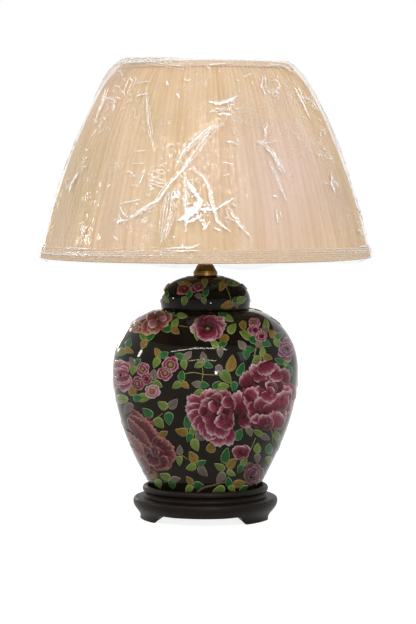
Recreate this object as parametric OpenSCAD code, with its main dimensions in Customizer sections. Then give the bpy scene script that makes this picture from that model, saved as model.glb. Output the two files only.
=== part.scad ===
// Table lamp: a lidded porcelain jar on a turned wooden stand, clamped by a hollow threaded
// rod, with a brass lampholder, a wire harp and a pleated empire shade in clear wrapping.
// Sizes are millimetres. The floor is z = 0 and the rod is the Z axis. The front is -Y.

/* [Stand] */
// Height from the floor to the top of the rim
stand_h = 46; // [43:1:56]
// Radius at the widest moulding
stand_r = 100; // [98:1:110]
// Width of the rim round the seat
rim_w = 6.4; // [5:0.1:9]
// Depth of the seat that the jar stands in
seat_depth = 8; // [7:0.5:10]
// Thickness of the web under the seat
web_t = 10; // [9:1:14]
// Width of the ring that the feet and aprons are carved from
ring_w = 30; // [26:1:40]
// Height of the gap under the apron, between the feet
apron_gap = 11; // [8:0.5:13]
// Number of feet
foot_count = 3; // [3:1:5]
// Width of a foot where it meets the floor
foot_w = 54; // [40:1:60]
// How far the feet are turned from a foot at the back
foot_turn = -6; // [-30:1:30]

/* [Jar] */
// Height from the seat to the ledge that carries the lid
jar_h = 251.2; // [220:0.1:290]
// Radius at the belly
jar_r = 128.2; // [116:0.1:140]
// Height of the belly above the seat
belly_h = 167; // [145:1:190]
// Outer radius of the foot ring
jar_foot_r = 73; // [68:0.5:77]
// Radius of the ledge that carries the lid
mouth_r = 64; // [62:0.5:70]
// Thickness of the wall
jar_wall = 5; // [4:0.5:7]
// Outer radius of the neck inside the lid
neck_r = 51; // [44:0.5:53]
// Height of the neck above the ledge
neck_h = 13; // [8:1:18]

/* [Lid] */
// Height of the lid
lid_h = 46.2; // [40:0.1:56]
// Radius of the lid at its widest
lid_r = 62.3; // [60:0.1:66]
// Thickness of the lid's wall
lid_wall = 4.5; // [3.5:0.5:5.5]

/* [Rod and vase cap] */
// Outer diameter of the threaded rod
rod_d = 9.7; // [9:0.1:10.5]
// Bore of the rod, where the wire runs
rod_bore = 6.8; // [5:0.1:7.2]
// Height of the brass cap on the lid
cap_h = 16.6; // [14:0.1:24]
// Diameter of the cap on the lid
cap_d = 33.4; // [28:0.1:40]
// Diameter of the cap at its top
cap_top_d = 20.4; // [18:0.1:24]
// Width across the flats of the nut under the stand
nut_af = 16; // [15:0.5:19]
// Bore of the bush that the flex leaves by
bush_bore = 8; // [6:0.5:9]

/* [Lampholder and bulb] */
// Outer diameter of the brass shell
shell_d = 33.6; // [32:0.1:37]
// Height of the cup that the shell snaps into
cup_h = 22; // [20:1:26]
// Height of the lampholder above the saddle
holder_h = 74; // [70:1:84]
// Diameter of the bulb's screw base
base_d = 26; // [25:0.1:27]
// Diameter of the bulb
bulb_d = 60; // [50:1:61]
// Length of the bulb with its base
bulb_len = 110; // [100:1:125]
// Reach of the switch key in front of the shell
key_reach = 33; // [28:1:40]

/* [Harp] */
// Height from the saddle to the seat of the shade
harp_h = 241.3; // [235:0.1:280]
// Width of the harp over its wire
harp_w = 118; // [104:1:130]
// Diameter of the harp's wire
harp_wire = 4; // [3:0.2:5]
// Distance between the two legs
leg_gap = 75; // [74:0.5:80]
// Height of a locking sleeve
sleeve_h = 13; // [10:0.5:16]

/* [Shade] */
// Height of the frame, ring to ring
shade_h = 256.8; // [230:0.1:280]
// Radius of the top ring
top_ring_r = 110.5; // [100:0.1:120]
// Radius of the bottom ring
bottom_ring_r = 219.4; // [205:0.1:240]
// Radius of the tight shoulder below the top ring
shoulder_rad = 127; // [100:1:150]
// Slope of the side at the top ring, in degrees from upright
top_slope = 50; // [42:1:56]
// Slope of the side where the shoulder ends
side_slope = 27.5; // [25:0.5:30]
// How far the spider sits below the top ring
spider_drop = 26.5; // [26:0.5:32]
// Diameter of the ring wire
ring_wire = 4; // [3:0.2:5]
// Diameter of the rib wire
rib_wire = 3; // [2.4:0.2:3.6]
// Number of ribs, each of which carries a seam of the lining
rib_count = 8; // [6:2:10]
// Number of spider arms
arm_count = 3; // [3:1:4]
// Number of pleats
pleat_count = 96; // [72:4:112]
// Depth of a pleat
pleat_depth = 2; // [1:0.1:2.6]
// Height of the braid round the bottom
braid_h = 17.5; // [14:0.5:22]
// Height of the binding below the top ring
binding_h = 9.5; // [7:0.5:14]

/* [Hidden] */
$fn = 96;

wood = "#241b14";
glaze = "#15110e";
brass = "#a8843c";
steel = "#8d8f90";
cream = "#ead0ac";
phenolic = "#1d1613";

// running gap between pieces that are seated on each other
gap = 0.3;
// thickness of cloth, and of the wrapping, which is drawn thicker than the real film
cloth_t = 0.8;
film_t = 0.5;
curve_steps = 16;

seat_z = stand_h - seat_depth;
web_z = seat_z - web_t;
ledge_z = seat_z + jar_h;
lid_top_z = ledge_z + lid_h;
saddle_z = lid_top_z + cap_h;
saddle_t = 1.6;
holder_z = saddle_z + saddle_t;
hub_z = saddle_z + harp_h;
top_z = hub_z + spider_drop;
bottom_z = top_z - shade_h;

rod_r = rod_d / 2;
rod_hole = rod_r + gap;
ring_r = ring_wire / 2;
rib_r = rib_wire / 2;
leg_r = harp_wire / 2;

// point at t on a cubic curve through p[0] and p[3], with p[1] and p[2] as its handles
function cubic(p, t) =
    pow(1 - t, 3) * p[0] + 3 * pow(1 - t, 2) * t * p[1] + 3 * (1 - t) * t * t * p[2] + pow(t, 3) * p[3];
function cubic_points(p, steps = curve_steps) = [for (i = [0:steps]) cubic(p, i / steps)];
function reversed(list) = [for (i = [len(list) - 1:-1:0]) list[i]];
function unit(v) = v / norm(v);
// the curve moved by d to the left of its direction
function beside(line, d) = [
    for (i = [0:len(line) - 1])
        let (along = unit(line[min(i + 1, len(line) - 1)] - line[max(i - 1, 0)]))
            line[i] + d * [-along[1], along[0]]
];

module turned(outline) {
    rotate_extrude() polygon(outline);
}

// Wooden stand: a turned top, let with a spigot into a ring of carved ogee feet and aprons

ogee_depth = 9;
toe_r = stand_r - ogee_depth;
recess_r = stand_r - ring_w;
belly_z = stand_h * 0.52;
seat_play = 7.5;
rim_in_r = jar_foot_r + seat_play;
rim_r = rim_in_r + rim_w;
rim_top_w = 4;
bead_h = 8.5;
neck_drop = 15;
neck_low_z = stand_h - neck_drop;

module stand_top() {
    color(wood)
        turned(concat(
            [[rod_hole, web_z], [recess_r - gap, web_z], [recess_r - gap, neck_low_z],
             [rim_r - 2.2, neck_low_z], [rim_r - 3.2, neck_low_z + 1.5],
             [rim_r - 3.2, stand_h - bead_h - 1.5]],
            cubic_points([[rim_r - 1.6, stand_h - bead_h], [rim_r + 0.6, stand_h - bead_h + 2],
                          [rim_r + 0.8, stand_h - 1.5], [rim_in_r + rim_top_w, stand_h]], 8),
            [[rim_in_r + 0.8, stand_h], [rim_in_r, stand_h - 0.8], [rim_in_r, seat_z],
             [rod_hole, seat_z]]
        ));
}

// section of the ring that the feet and aprons are carved from
function ring_outline() = concat(
    [[recess_r, 0], [toe_r - 1.5, 0], [toe_r, 1.5]],
    cubic_points([[toe_r - 1.2, 5], [toe_r, belly_z * 0.46], [stand_r, belly_z * 0.68], [stand_r, belly_z]]),
    cubic_points([[stand_r, belly_z + 1], [stand_r, neck_low_z - 0.5], [stand_r - 4, neck_low_z],
                  [rim_r - 2.2, neck_low_z]], 8),
    [[recess_r, neck_low_z]]
);

// half width of the gap between two feet at the floor, and the width of a foot's bracket curve
gap_half_w = toe_r * sin(180 / foot_count - asin(foot_w / 2 / toe_r));
bracket_w = 15;
bracket_rise = 0.8;

// the gap's outline, which rises in an ogee from each foot to the long flat edge of the apron
module apron_cut() {
    high = apron_gap + bracket_rise;
    toe = gap_half_w + bracket_w * 0.3;
    side = cubic_points([[toe, 0], [toe - bracket_w * 0.6, 0], [toe - bracket_w * 0.4, high],
                         [toe - bracket_w, high]], 10);
    arch = concat([[toe, -1]], side, [[gap_half_w * 0.55, apron_gap]]);
    rotate([90, 0, 90])
        linear_extrude(height = stand_r + 10)
            polygon(concat(arch, reversed([for (p = arch) [-p[0], p[1]]])));
}

// the flex leaves midway between the back foot and its left neighbour, above the apron's edge
foot_step = 360 / foot_count;
bush_turn = 90 + foot_turn + foot_step / 2;
bush_z = apron_gap + (web_z - apron_gap) / 2 + 0.5;
bush_out_r = bush_bore / 2 + 1.5;
bush_flange_r = bush_out_r + 1.6;
bush_flange_t = 1.5;
bush_wall_r = stand_r + 2;

module at_bush() {
    rotate([0, 0, bush_turn]) translate([0, 0, bush_z]) rotate([0, 90, 0]) children();
}

// half of the turn that one foot takes with the brackets at its sides, and half a glue line
foot_half_a = asin((foot_w / 2 + bracket_w) / toe_r);
seam_a = asin(gap / 2 / toe_r);

module ring_part(from, to) {
    far = 2 * stand_r;
    mid = (from + to) / 2;
    intersection() {
        difference() {
            turned(ring_outline());
            for (i = [0:foot_count - 1])
                rotate([0, 0, 90 + foot_turn + (i + 0.5) * foot_step]) apron_cut();
            at_bush() cylinder(r = bush_out_r + gap, h = bush_wall_r);
            at_bush() translate([0, 0, stand_r - 3 - gap]) cylinder(r = bush_flange_r + gap, h = 10);
        }
        translate([0, 0, -1])
            linear_extrude(height = stand_h)
                polygon([[0, 0], far * [cos(from), sin(from)], far * [cos(mid), sin(mid)],
                         far * [cos(to), sin(to)]]);
    }
}

module stand_aprons() {
    color(wood)
        for (i = [0:foot_count - 1])
            ring_part(90 + foot_turn + i * foot_step + foot_half_a + seam_a,
                      90 + foot_turn + (i + 1) * foot_step - foot_half_a - seam_a);
}

module stand_feet() {
    color(wood)
        for (i = [0:foot_count - 1])
            ring_part(90 + foot_turn + i * foot_step - foot_half_a + seam_a,
                      90 + foot_turn + i * foot_step + foot_half_a - seam_a);
}

// Black bush that lines the flex's way out, its flange let into the moulding

module cord_bush() {
    color("#101010")
        at_bush()
            difference() {
                union() {
                    translate([0, 0, recess_r + gap])
                        cylinder(r = bush_out_r, h = stand_r - 3 - recess_r - gap + bush_flange_t);
                    translate([0, 0, stand_r - 3]) cylinder(r = bush_flange_r, h = bush_flange_t);
                }
                cylinder(d = bush_bore, h = bush_wall_r);
            }
}

// Washer, spring washer and nut that pull the whole lamp together from below

washer_t = 2;
lock_t = 1.8;
nut_t = 6;
rod_low_z = web_z - washer_t - lock_t - nut_t - 2;

module washer(outer_r, t, top) {
    translate([0, 0, top - t])
        difference() {
            cylinder(r = outer_r, h = t);
            translate([0, 0, -1]) cylinder(r = rod_hole, h = t + 2);
        }
}

module rod_washer() {
    color(steel) washer(rod_r + 11, washer_t, web_z);
}

module lock_washer() {
    color(steel)
        difference() {
            washer(rod_r + 3.8, lock_t, web_z - washer_t);
            translate([0, -0.8, web_z - washer_t - lock_t - 1]) cube([rod_r + 6, 1.6, lock_t + 2]);
        }
}

module hex_nut() {
    color(brass)
        translate([0, 0, web_z - washer_t - lock_t - nut_t])
            difference() {
                cylinder(r = nut_af / 2 / cos(30), h = nut_t, $fn = 6);
                translate([0, 0, -1]) cylinder(r = rod_hole, h = nut_t + 2);
            }
}

rod_top_z = holder_z + 13;

module threaded_rod() {
    color(steel)
        translate([0, 0, rod_low_z])
            difference() {
                cylinder(r = rod_r, h = rod_top_z - rod_low_z);
                translate([0, 0, -1]) cylinder(d = rod_bore, h = rod_top_z - rod_low_z + 2);
            }
}

// Porcelain jar: thrown body with a foot ring, a wide shoulder and a neck under the lid

foot_ring_h = 4;
foot_ring_w = 9;

function jar_side() = concat(
    cubic_points([[jar_foot_r + 1, seat_z + 2],
                  [jar_foot_r + 0.31 * (jar_r - jar_foot_r), seat_z + 0.216 * belly_h],
                  [jar_r, seat_z + 0.575 * belly_h], [jar_r, seat_z + belly_h]]),
    [for (p = cubic_points([[jar_r, seat_z + belly_h],
                            [jar_r, seat_z + belly_h + 0.63 * (jar_h - belly_h)],
                            [mouth_r + 0.405 * (jar_r - mouth_r), ledge_z - 3.2], [mouth_r, ledge_z]]))
        if (p[1] > seat_z + belly_h) p]
);

module jar() {
    side = jar_side();
    inner = [for (p = beside(side, jar_wall))
        if (p[0] > neck_r - jar_wall && p[1] > seat_z + foot_ring_h + jar_wall
            && p[1] < ledge_z - jar_wall) p];
    color(glaze)
        turned(concat(
            [[jar_foot_r - foot_ring_w, seat_z], [jar_foot_r - 0.5, seat_z], [jar_foot_r, seat_z + 0.5]],
            side,
            [[neck_r, ledge_z], [neck_r, ledge_z + neck_h - 1], [neck_r - 1, ledge_z + neck_h],
             [neck_r - jar_wall, ledge_z + neck_h], [neck_r - jar_wall, ledge_z - jar_wall]],
            reversed(inner),
            [[jar_foot_r - foot_ring_w, seat_z + foot_ring_h + jar_wall],
             [rod_hole, seat_z + foot_ring_h + jar_wall], [rod_hole, seat_z + foot_ring_h],
             [jar_foot_r - foot_ring_w, seat_z + foot_ring_h]]
        ));
}

// Domed lid that fits over the neck and is clamped by the rod

lid_waist = lid_h * 0.234;
lid_flat_r = cap_d / 2 - 2.7;

function lid_side() = concat(
    [[lid_r - 1.7, ledge_z], [lid_r - 0.9, ledge_z + lid_waist * 0.4]],
    cubic_points([[lid_r, ledge_z + lid_waist], [lid_r, ledge_z + lid_waist + 0.763 * (lid_h - lid_waist)],
                  [0.48 * lid_r, lid_top_z], [lid_flat_r, lid_top_z]])
);

module lid() {
    side = lid_side();
    inner = [for (p = beside(side, lid_wall)) if (p[1] > ledge_z + 1 && p[1] < lid_top_z - lid_wall) p];
    color(glaze)
        turned(concat(
            side,
            [[rod_hole, lid_top_z], [rod_hole, lid_top_z - lid_wall]],
            reversed(inner),
            [[inner[0][0], ledge_z]]
        ));
}

// Turned brass cap that spreads the clamping force over the lid

module vase_cap() {
    r = cap_d / 2;
    top_r = cap_top_d / 2;
    color(brass)
        turned([[rod_hole, lid_top_z], [r - 0.9, lid_top_z], [r, lid_top_z + 1.1],
                [r, lid_top_z + 0.32 * cap_h], [r - 0.9, lid_top_z + 0.37 * cap_h],
                [r - 0.9, lid_top_z + 0.42 * cap_h], [r - 1.9, lid_top_z + 0.46 * cap_h],
                [top_r + 1.1, lid_top_z + 0.88 * cap_h], [top_r, lid_top_z + 0.93 * cap_h],
                [top_r, saddle_z - 0.5], [top_r - 0.5, saddle_z], [rod_hole, saddle_z]]);
}

// Saddle: a pressed strip under the lampholder, with a post for each leg of the harp

leg_x = leg_gap / 2;
post_t = 1.6;
post_w = 5;
post_x = leg_x - leg_r - gap - post_t;
sleeve_x = (post_x + leg_x + leg_r) / 2;
sleeve_in_r = norm([sleeve_x - post_x, post_w / 2]) + gap;
sleeve_t = 1;
sleeve_low_z = holder_z + gap;
post_top_z = sleeve_low_z + sleeve_h - 2;

module harp_saddle() {
    strip_w = 13;
    color(brass)
        difference() {
            union() {
                translate([-leg_x, -strip_w / 2, saddle_z]) cube([2 * leg_x, strip_w, saddle_t]);
                for (side = [-1, 1]) {
                    translate([side * leg_x, 0, saddle_z]) cylinder(d = strip_w, h = saddle_t);
                    translate([side * (post_x + post_t / 2) - post_t / 2, -post_w / 2, saddle_z])
                        cube([post_t, post_w, post_top_z - saddle_z]);
                }
            }
            translate([0, 0, saddle_z - 1]) cylinder(r = rod_hole, h = saddle_t + 2);
        }
}

// Lampholder: cup, shell, paper liner, switch block, screw shell and contact

shell_r = shell_d / 2;
shell_t = 0.6;
liner_t = 0.8;
cup_t = 0.8;
cup_r = shell_r + gap + cup_t;
cup_z = holder_z;
shell_low_z = cup_z + cup_h - 6;
shell_top_z = holder_z + holder_h;
block_r = shell_r - shell_t - gap - liner_t - gap;
block_low_z = rod_top_z + 3;
block_top_z = block_low_z + 29;
key_z = cup_z + cup_h + 9;
stem_r = 1.6;
set_screw_r = 1.3;

module socket_cup() {
    side = concat(
        [[rod_r + 4, cup_z], [rod_r + 4.6, cup_z + 3.4]],
        cubic_points([[rod_r + 5.4, cup_z + 4], [rod_r + 9.5, cup_z + 6],
                      [cup_r, cup_z + 9], [cup_r, cup_z + cup_h - 7]], 8),
        [[cup_r, cup_z + cup_h]]
    );
    inner = [for (p = beside(side, cup_t)) if (p[1] > cup_z + 4.2) p];
    color(brass)
        difference() {
            turned(concat([[rod_hole, cup_z]], side, reversed(inner), [[rod_hole, cup_z + 4.2]]));
            translate([0, 0, screw_z]) rotate([-90, 0, 0]) cylinder(r = set_screw_r + 0.1, h = rod_r + 10);
        }
}

// set screw that grips the rod through the foot of the cup
screw_z = cup_z + 1.9;

module cup_screw() {
    color(steel)
        translate([0, rod_r + 0.1, screw_z])
            rotate([-90, 0, 0]) {
                cylinder(r = set_screw_r, h = 6);
                translate([0, 0, 5]) cylinder(r = set_screw_r + 0.5, h = 1.6);
            }
}

module tube(outer_r, t, low, high) {
    translate([0, 0, low])
        difference() {
            cylinder(r = outer_r, h = high - low);
            translate([0, 0, -1]) cylinder(r = outer_r - t, h = high - low + 2);
        }
}

module key_hole(r) {
    translate([0, 0, key_z]) rotate([90, 0, 0]) cylinder(r = r, h = shell_r + 5);
}

module socket_shell() {
    color(brass)
        difference() {
            union() {
                tube(shell_r, shell_t, shell_low_z, shell_top_z);
                tube(shell_r + 0.7, 0.7 + shell_t, cup_z + cup_h + 1, cup_z + cup_h + 3);
                tube(shell_r + 0.7, 0.7 + shell_t, shell_top_z - 1.6, shell_top_z);
            }
            key_hole(stem_r + 0.8);
        }
}

module paper_liner() {
    color("#6d5233")
        difference() {
            tube(shell_r - shell_t - gap, liner_t, shell_low_z + 1, shell_top_z - 3);
            key_hole(stem_r + 0.8);
        }
}

module switch_body() {
    color(phenolic)
        difference() {
            translate([0, 0, block_low_z]) cylinder(r = block_r, h = block_top_z - block_low_z);
            key_hole(stem_r + 0.1);
        }
}

screw_r = base_d / 2 + 0.4;
screw_t = 0.5;

module screw_shell() {
    color("#b9b6ac")
        difference() {
            tube(screw_r + screw_t, screw_t, block_top_z + gap, shell_top_z - 6);
            for (i = [0:3])
                translate([0, 0, block_top_z + 6 + i * 4])
                    rotate_extrude() translate([screw_r, 0]) circle(r = 0.25, $fn = 24);
        }
}

contact_t = 1.2;

module centre_contact() {
    color(brass) translate([0, 0, block_top_z + gap]) cylinder(r = 3, h = contact_t);
}

module key_stem() {
    color(brass)
        translate([0, -4, key_z]) rotate([90, 0, 0]) cylinder(r = stem_r, h = shell_r + key_reach - 12);
}

// knurled knob, pushed on the stem
knob_r = 5.2;
knob_l = 17;
module key_knob() {
    knob_y = shell_r + key_reach;
    color(phenolic)
        translate([0, -(knob_y - knob_l), key_z])
            rotate([90, 0, 0])
                difference() {
                    union() {
                        cylinder(r = 3.4, h = 5);
                        translate([0, 0, 5]) cylinder(r = knob_r, h = knob_l - 5);
                    }
                    translate([0, 0, -1]) cylinder(r = stem_r + 0.15, h = 10.3);
                    for (i = [0:15])
                        rotate([0, 0, i * 22.5]) translate([knob_r + 0.35, 0, 6])
                            cylinder(r = 0.8, h = knob_l, $fn = 16);
                }
}

// Bulb: glass envelope, screw base and centre tip

bulb_low_z = block_top_z + gap + contact_t + gap;
tip_h = 3.4;
base_h = 22;
glass_z = bulb_low_z + tip_h + base_h;
bulb_top_z = bulb_low_z + bulb_len;
bulb_r = bulb_d / 2;
bulb_mid_z = bulb_top_z - bulb_r;
glass_neck_r = base_d / 2 - 1.2;

module bulb_glass() {
    glass_t = 0.9;
    join = 45;
    start = [bulb_r * cos(join), bulb_mid_z - bulb_r * sin(join)];
    side = concat(
        [[glass_neck_r, glass_z + gap]],
        cubic_points([[glass_neck_r, glass_z + 5], [glass_neck_r, glass_z + 14],
                      start - [7, 7], start], 10),
        [for (i = [1:14]) let (a = -join + i * (90 + join - 2) / 14)
            [bulb_r * cos(a), bulb_mid_z + bulb_r * sin(a)]]
    );
    inner = [for (p = beside(side, glass_t)) p];
    color("#f2efe8")
        turned(concat(side, [[0, bulb_top_z]], [[0, bulb_top_z - glass_t]], reversed(inner)));
}

module bulb_base() {
    r = base_d / 2;
    color("#c4c2bb")
        difference() {
            union() {
                translate([0, 0, bulb_low_z + tip_h]) cylinder(r = r - 0.7, h = base_h);
                for (i = [0:4])
                    translate([0, 0, bulb_low_z + tip_h + 3 + i * 3.63])
                        rotate_extrude() translate([r - 0.9, 0]) circle(r = 0.9, $fn = 24);
            }
            translate([0, 0, bulb_low_z + tip_h + 2]) cylinder(r = r - 2, h = base_h);
        }
}

module bulb_contact() {
    color(phenolic)
        turned([[0, bulb_low_z], [4, bulb_low_z], [4.6, bulb_low_z + 0.8], [base_d / 2 - 2, bulb_low_z + tip_h - 0.3],
                [0, bulb_low_z + tip_h - 0.3]]);
}

// Harp: one bent wire, with a stud riveted on its top

stud_flange_t = 2.2;
stud_r = 3.1;
stud_h = 12;
bow_top_z = hub_z - gap - stud_flange_t - gap - leg_r;
leg_low_z = sleeve_low_z;
leg_top_z = post_top_z + sleeve_h + 9;
belly_x = harp_w / 2 - leg_r;

function harp_half() = let (reach = bow_top_z - leg_top_z) concat(
    [[leg_x, leg_low_z], [leg_x, (leg_low_z + leg_top_z) / 2]],
    cubic_points([[leg_x, leg_top_z], [leg_x, leg_top_z + 0.13 * reach],
                  [belly_x, leg_top_z + 0.2 * reach], [belly_x, leg_top_z + 0.42 * reach]], 10),
    [for (i = [1:14]) cubic([[belly_x, leg_top_z + 0.42 * reach], [belly_x, leg_top_z + 0.68 * reach],
                             [0.8 * belly_x, bow_top_z], [10, bow_top_z]], i / 14)]
);

// a tube of round section along a line in the XZ plane
module bent_wire(line, r, sides = 12) {
    last = len(line) - 1;
    rings = [for (i = [0:last])
        let (along = unit(line[min(i + 1, last)] - line[max(i - 1, 0)]))
            for (k = [0:sides - 1])
                let (a = k * 360 / sides)
                    [line[i][0] - along[1] * r * cos(a), r * sin(a), line[i][1] + along[0] * r * cos(a)]];
    walls = [for (i = [0:last - 1], k = [0:sides - 1])
        let (a = i * sides + k, b = i * sides + (k + 1) % sides)
            for (tri = [[a, b, a + sides], [b, b + sides, a + sides]]) tri];
    ends = [[for (k = [sides - 1:-1:0]) k], [for (k = [0:sides - 1]) last * sides + k]];
    polyhedron(points = rings, faces = concat(walls, ends), convexity = 6);
}

module harp_bow() {
    half = harp_half();
    color(brass) bent_wire(concat(half, reversed([for (p = half) [-p[0], p[1]]])), leg_r);
}

module harp_stud() {
    low = bow_top_z + leg_r + gap;
    color(brass)
        union() {
            translate([0, 0, low]) cylinder(r = 8, h = stud_flange_t);
            translate([0, 0, low]) cylinder(r = stud_r, h = stud_flange_t + stud_h);
        }
}

// Sleeve that slides down over a leg and its post and locks them together

module sleeve(side) {
    lip_t = 0.6;
    color(brass)
        translate([side * sleeve_x, 0, 0])
            union() {
                tube(sleeve_in_r + sleeve_t, sleeve_t, sleeve_low_z, sleeve_low_z + sleeve_h);
                tube(sleeve_in_r + sleeve_t + lip_t, sleeve_t + lip_t, sleeve_low_z, sleeve_low_z + 1.6);
            }
}

module sleeve_left() {
    sleeve(-1);
}

module sleeve_right() {
    sleeve(1);
}

// Turned finial, screwed down on the stud to hold the shade

hub_t = 1.6;
finial_z = hub_z + hub_t + gap;

module finial() {
    ball_r = 7.2;
    ball_z = finial_z + 15;
    color(brass)
        difference() {
            union() {
                turned([[0, finial_z], [6.6, finial_z], [7, finial_z + 0.6], [6.6, finial_z + 2.4],
                        [4.6, finial_z + 3.4], [4.2, finial_z + 6], [5.4, finial_z + 7.2],
                        [5.4, finial_z + 8.2], [0, finial_z + 11]]);
                translate([0, 0, ball_z]) sphere(r = ball_r);
                translate([0, 0, ball_z + ball_r - 0.6]) cylinder(r = 1.8, h = 2.4);
            }
            translate([0, 0, finial_z - 1]) cylinder(r = stud_r + 0.25, h = stud_h - hub_t + 0.6);
        }
}

// Shade: from the top ring its side turns over a tight shoulder into a long, slightly bowed arc

shoulder_end = [top_ring_r, top_z]
    + shoulder_rad * [cos(side_slope) - cos(top_slope), sin(side_slope) - sin(top_slope)];
long_run = [bottom_ring_r, bottom_z] - shoulder_end;
long_half = side_slope - atan(-long_run[0] / long_run[1]);
long_rad = norm(long_run) / 2 / sin(long_half);
low_slope = side_slope - 2 * long_half;
shoulder_len = shoulder_rad * (top_slope - side_slope) * PI / 180;
side_len = shoulder_len + long_rad * 2 * long_half * PI / 180;

function arc_centre(rad) = shoulder_end - rad * [cos(side_slope), sin(side_slope)];
// point on the side, out from the frame's wires by n, and down from the top ring by t
function side_down(t, n) =
    let (past = t - shoulder_len, rad = past < 0 ? shoulder_rad : long_rad,
         a = side_slope - past / rad * 180 / PI)
    arc_centre(rad) + (rad + n) * [cos(a), sin(a)];
// stops from one place on the side to another, closer together on the shoulder
function side_stops(from, to, on_shoulder, on_side) = concat(
    [for (i = [0:on_shoulder - 1]) from + (shoulder_len - from) * i / on_shoulder],
    [for (i = [0:on_side]) shoulder_len + (to - shoulder_len) * i / on_side]
);
function side_line(from, to, n0, n1) =
    [for (t = side_stops(from, to, 5, 9)) side_down(t, n0 + (n1 - n0) * (t - from) / (to - from))];

lining_n = -(rib_r + gap + 0.1);
cover_n = ring_r + gap;
valley_n = cover_n + cloth_t;
peak_n = valley_n + pleat_depth;
trim_n = peak_n + gap;
binding_t = 1;
binding_in_n = lining_n - cloth_t - gap;
binding_r = (trim_n - binding_in_n) / 2;
binding_mid_n = (trim_n + binding_in_n) / 2;
braid_base_t = 1.6;
braid_row_r = 1.25;
braid_rows = 6;
braid_n = trim_n + braid_base_t + braid_row_r * 0.8;
braid_drop = 3;

module wire_ring(r, z) {
    color(steel) translate([0, 0, z]) rotate_extrude() translate([r, 0]) circle(r = ring_r, $fn = 24);
}

module top_ring() {
    wire_ring(top_ring_r, top_z);
}

module bottom_ring() {
    wire_ring(bottom_ring_r, bottom_z);
}

// ribs bent to the side, each welded between the rings
module frame_ribs() {
    color(steel)
        for (i = [0:rib_count - 1])
            rotate([0, 0, (i + 0.5) * 360 / rib_count])
                bent_wire(side_line(ring_r + gap, side_len - ring_r - gap, 0, 0), rib_r);
}

module spider_hub() {
    color(steel)
        translate([0, 0, hub_z])
            difference() {
                cylinder(r = 12.5, h = hub_t);
                translate([0, 0, -1]) cylinder(r = stud_r + 0.4, h = hub_t + 2);
            }
}

arm_r = 1.5;
arm_from = [12.5 + gap, hub_z + hub_t / 2];
arm_run = [top_ring_r, top_z] - arm_from;

module arm_rod(r, length) {
    for (i = [0:arm_count - 1])
        rotate([0, 0, 90 + i * 360 / arm_count])
            translate([arm_from[0], 0, arm_from[1]])
                rotate([0, 90 - atan(arm_run[1] / arm_run[0]), 0])
                    cylinder(r = r, h = length, $fn = 32);
}

module spider_arms() {
    color(steel) arm_rod(arm_r, norm(arm_run) - ring_r - gap - 0.3);
}

// lining sewn from panels that meet on the ribs
module shade_lining() {
    outer = side_line(ring_r + 1, side_len - ring_r - 1, lining_n, lining_n);
    inner = side_line(ring_r + 1, side_len - ring_r - 1, lining_n - cloth_t, lining_n - cloth_t);
    seam = asin(gap / 2 / top_ring_r);
    color(cream)
        for (i = [0:rib_count - 1])
            rotate([0, 0, (i + 0.5) * 360 / rib_count + seam])
                rotate_extrude(angle = 360 / rib_count - 2 * seam) polygon(concat(outer, reversed(inner)));
}

// gathered cover: its folds run from the binding to the braid and widen downwards
module pleated_cover() {
    around = 2 * pleat_count;
    stops = side_stops(-1, side_len + 2, 5, 4);
    rows = len(stops);
    // every third fold stands a little lower, as hand gathering leaves it
    function fold(k) = k % 2 == 0 ? peak_n - (k % 6 == 0 ? pleat_depth * 0.3 : 0) : valley_n;
    function row(i, k, n) =
        let (p = side_down(stops[i], n), a = (k + 0.5) * 360 / around)
            [p[0] * cos(a), p[0] * sin(a), p[1]];
    outer = [for (i = [0:rows - 1], k = [0:around - 1]) row(i, k, fold(k))];
    inner = [for (i = [0:rows - 1], k = [0:around - 1]) row(i, k, cover_n)];
    shift = rows * around;
    skins = [for (i = [0:rows - 2], k = [0:around - 1])
        let (a = i * around + k, b = i * around + (k + 1) % around)
            for (tri = [[a, a + around, b], [b, a + around, b + around],
                        [a + shift, b + shift, a + around + shift],
                        [b + shift, b + around + shift, a + around + shift]]) tri];
    edges = [for (k = [0:around - 1])
        let (b = (k + 1) % around, low = (rows - 1) * around)
            for (tri = [[k, b, k + shift], [b, b + shift, k + shift],
                        [low + k, low + k + shift, low + b],
                        [low + b, low + k + shift, low + b + shift]]) tri];
    color(cream)
        polyhedron(points = concat(outer, inner), faces = concat(skins, edges), convexity = 10);
}

// arch over the top ring, as an angle from the way out of the side
arch_mid = side_down(-0.5, binding_mid_n);
function arch(r, from) =
    [for (i = [0:10]) let (a = from * (1 - i / 10) + top_slope) arch_mid + r * [cos(a), sin(a)]];
// straight-hanging edge of the binding, from its low end up
function leg(drop, n) = [for (i = [0:3]) side_down(drop * (1 - i / 4), n)];

// binding folded over the top ring, slit where the spider's arms pass
module top_binding() {
    leg_in = 4;
    outside = concat(leg(leg_in, binding_in_n - binding_t), arch(binding_r + binding_t, 180),
                     reversed(leg(binding_h, trim_n + binding_t)));
    inside = concat(leg(leg_in, binding_in_n), arch(binding_r, 180), reversed(leg(binding_h, trim_n)));
    color(cream)
        difference() {
            turned(concat(outside, reversed(inside)));
            arm_rod(arm_r + gap, norm(arm_run) - 1);
        }
}

// woven braid glued round the bottom edge, in rows
module bottom_braid() {
    row_step = braid_h / braid_rows;
    color(cream)
        rotate_extrude()
            translate([bottom_ring_r, bottom_z])
                rotate(low_slope)
                    translate([trim_n, -braid_drop]) {
                        square([braid_base_t, braid_h]);
                        for (i = [0:braid_rows - 1])
                            translate([braid_base_t - braid_row_r * 0.2, (i + 0.5) * row_step])
                                circle(r = braid_row_r, $fn = 24);
                    }
}

// clear film, drawn over the binding, down the side and under the braid
film_low_n = braid_n + gap;
film_top_n = trim_n + binding_t + gap;
// it stops short of the spider's arms
film_over = 165 - top_slope;

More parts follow.
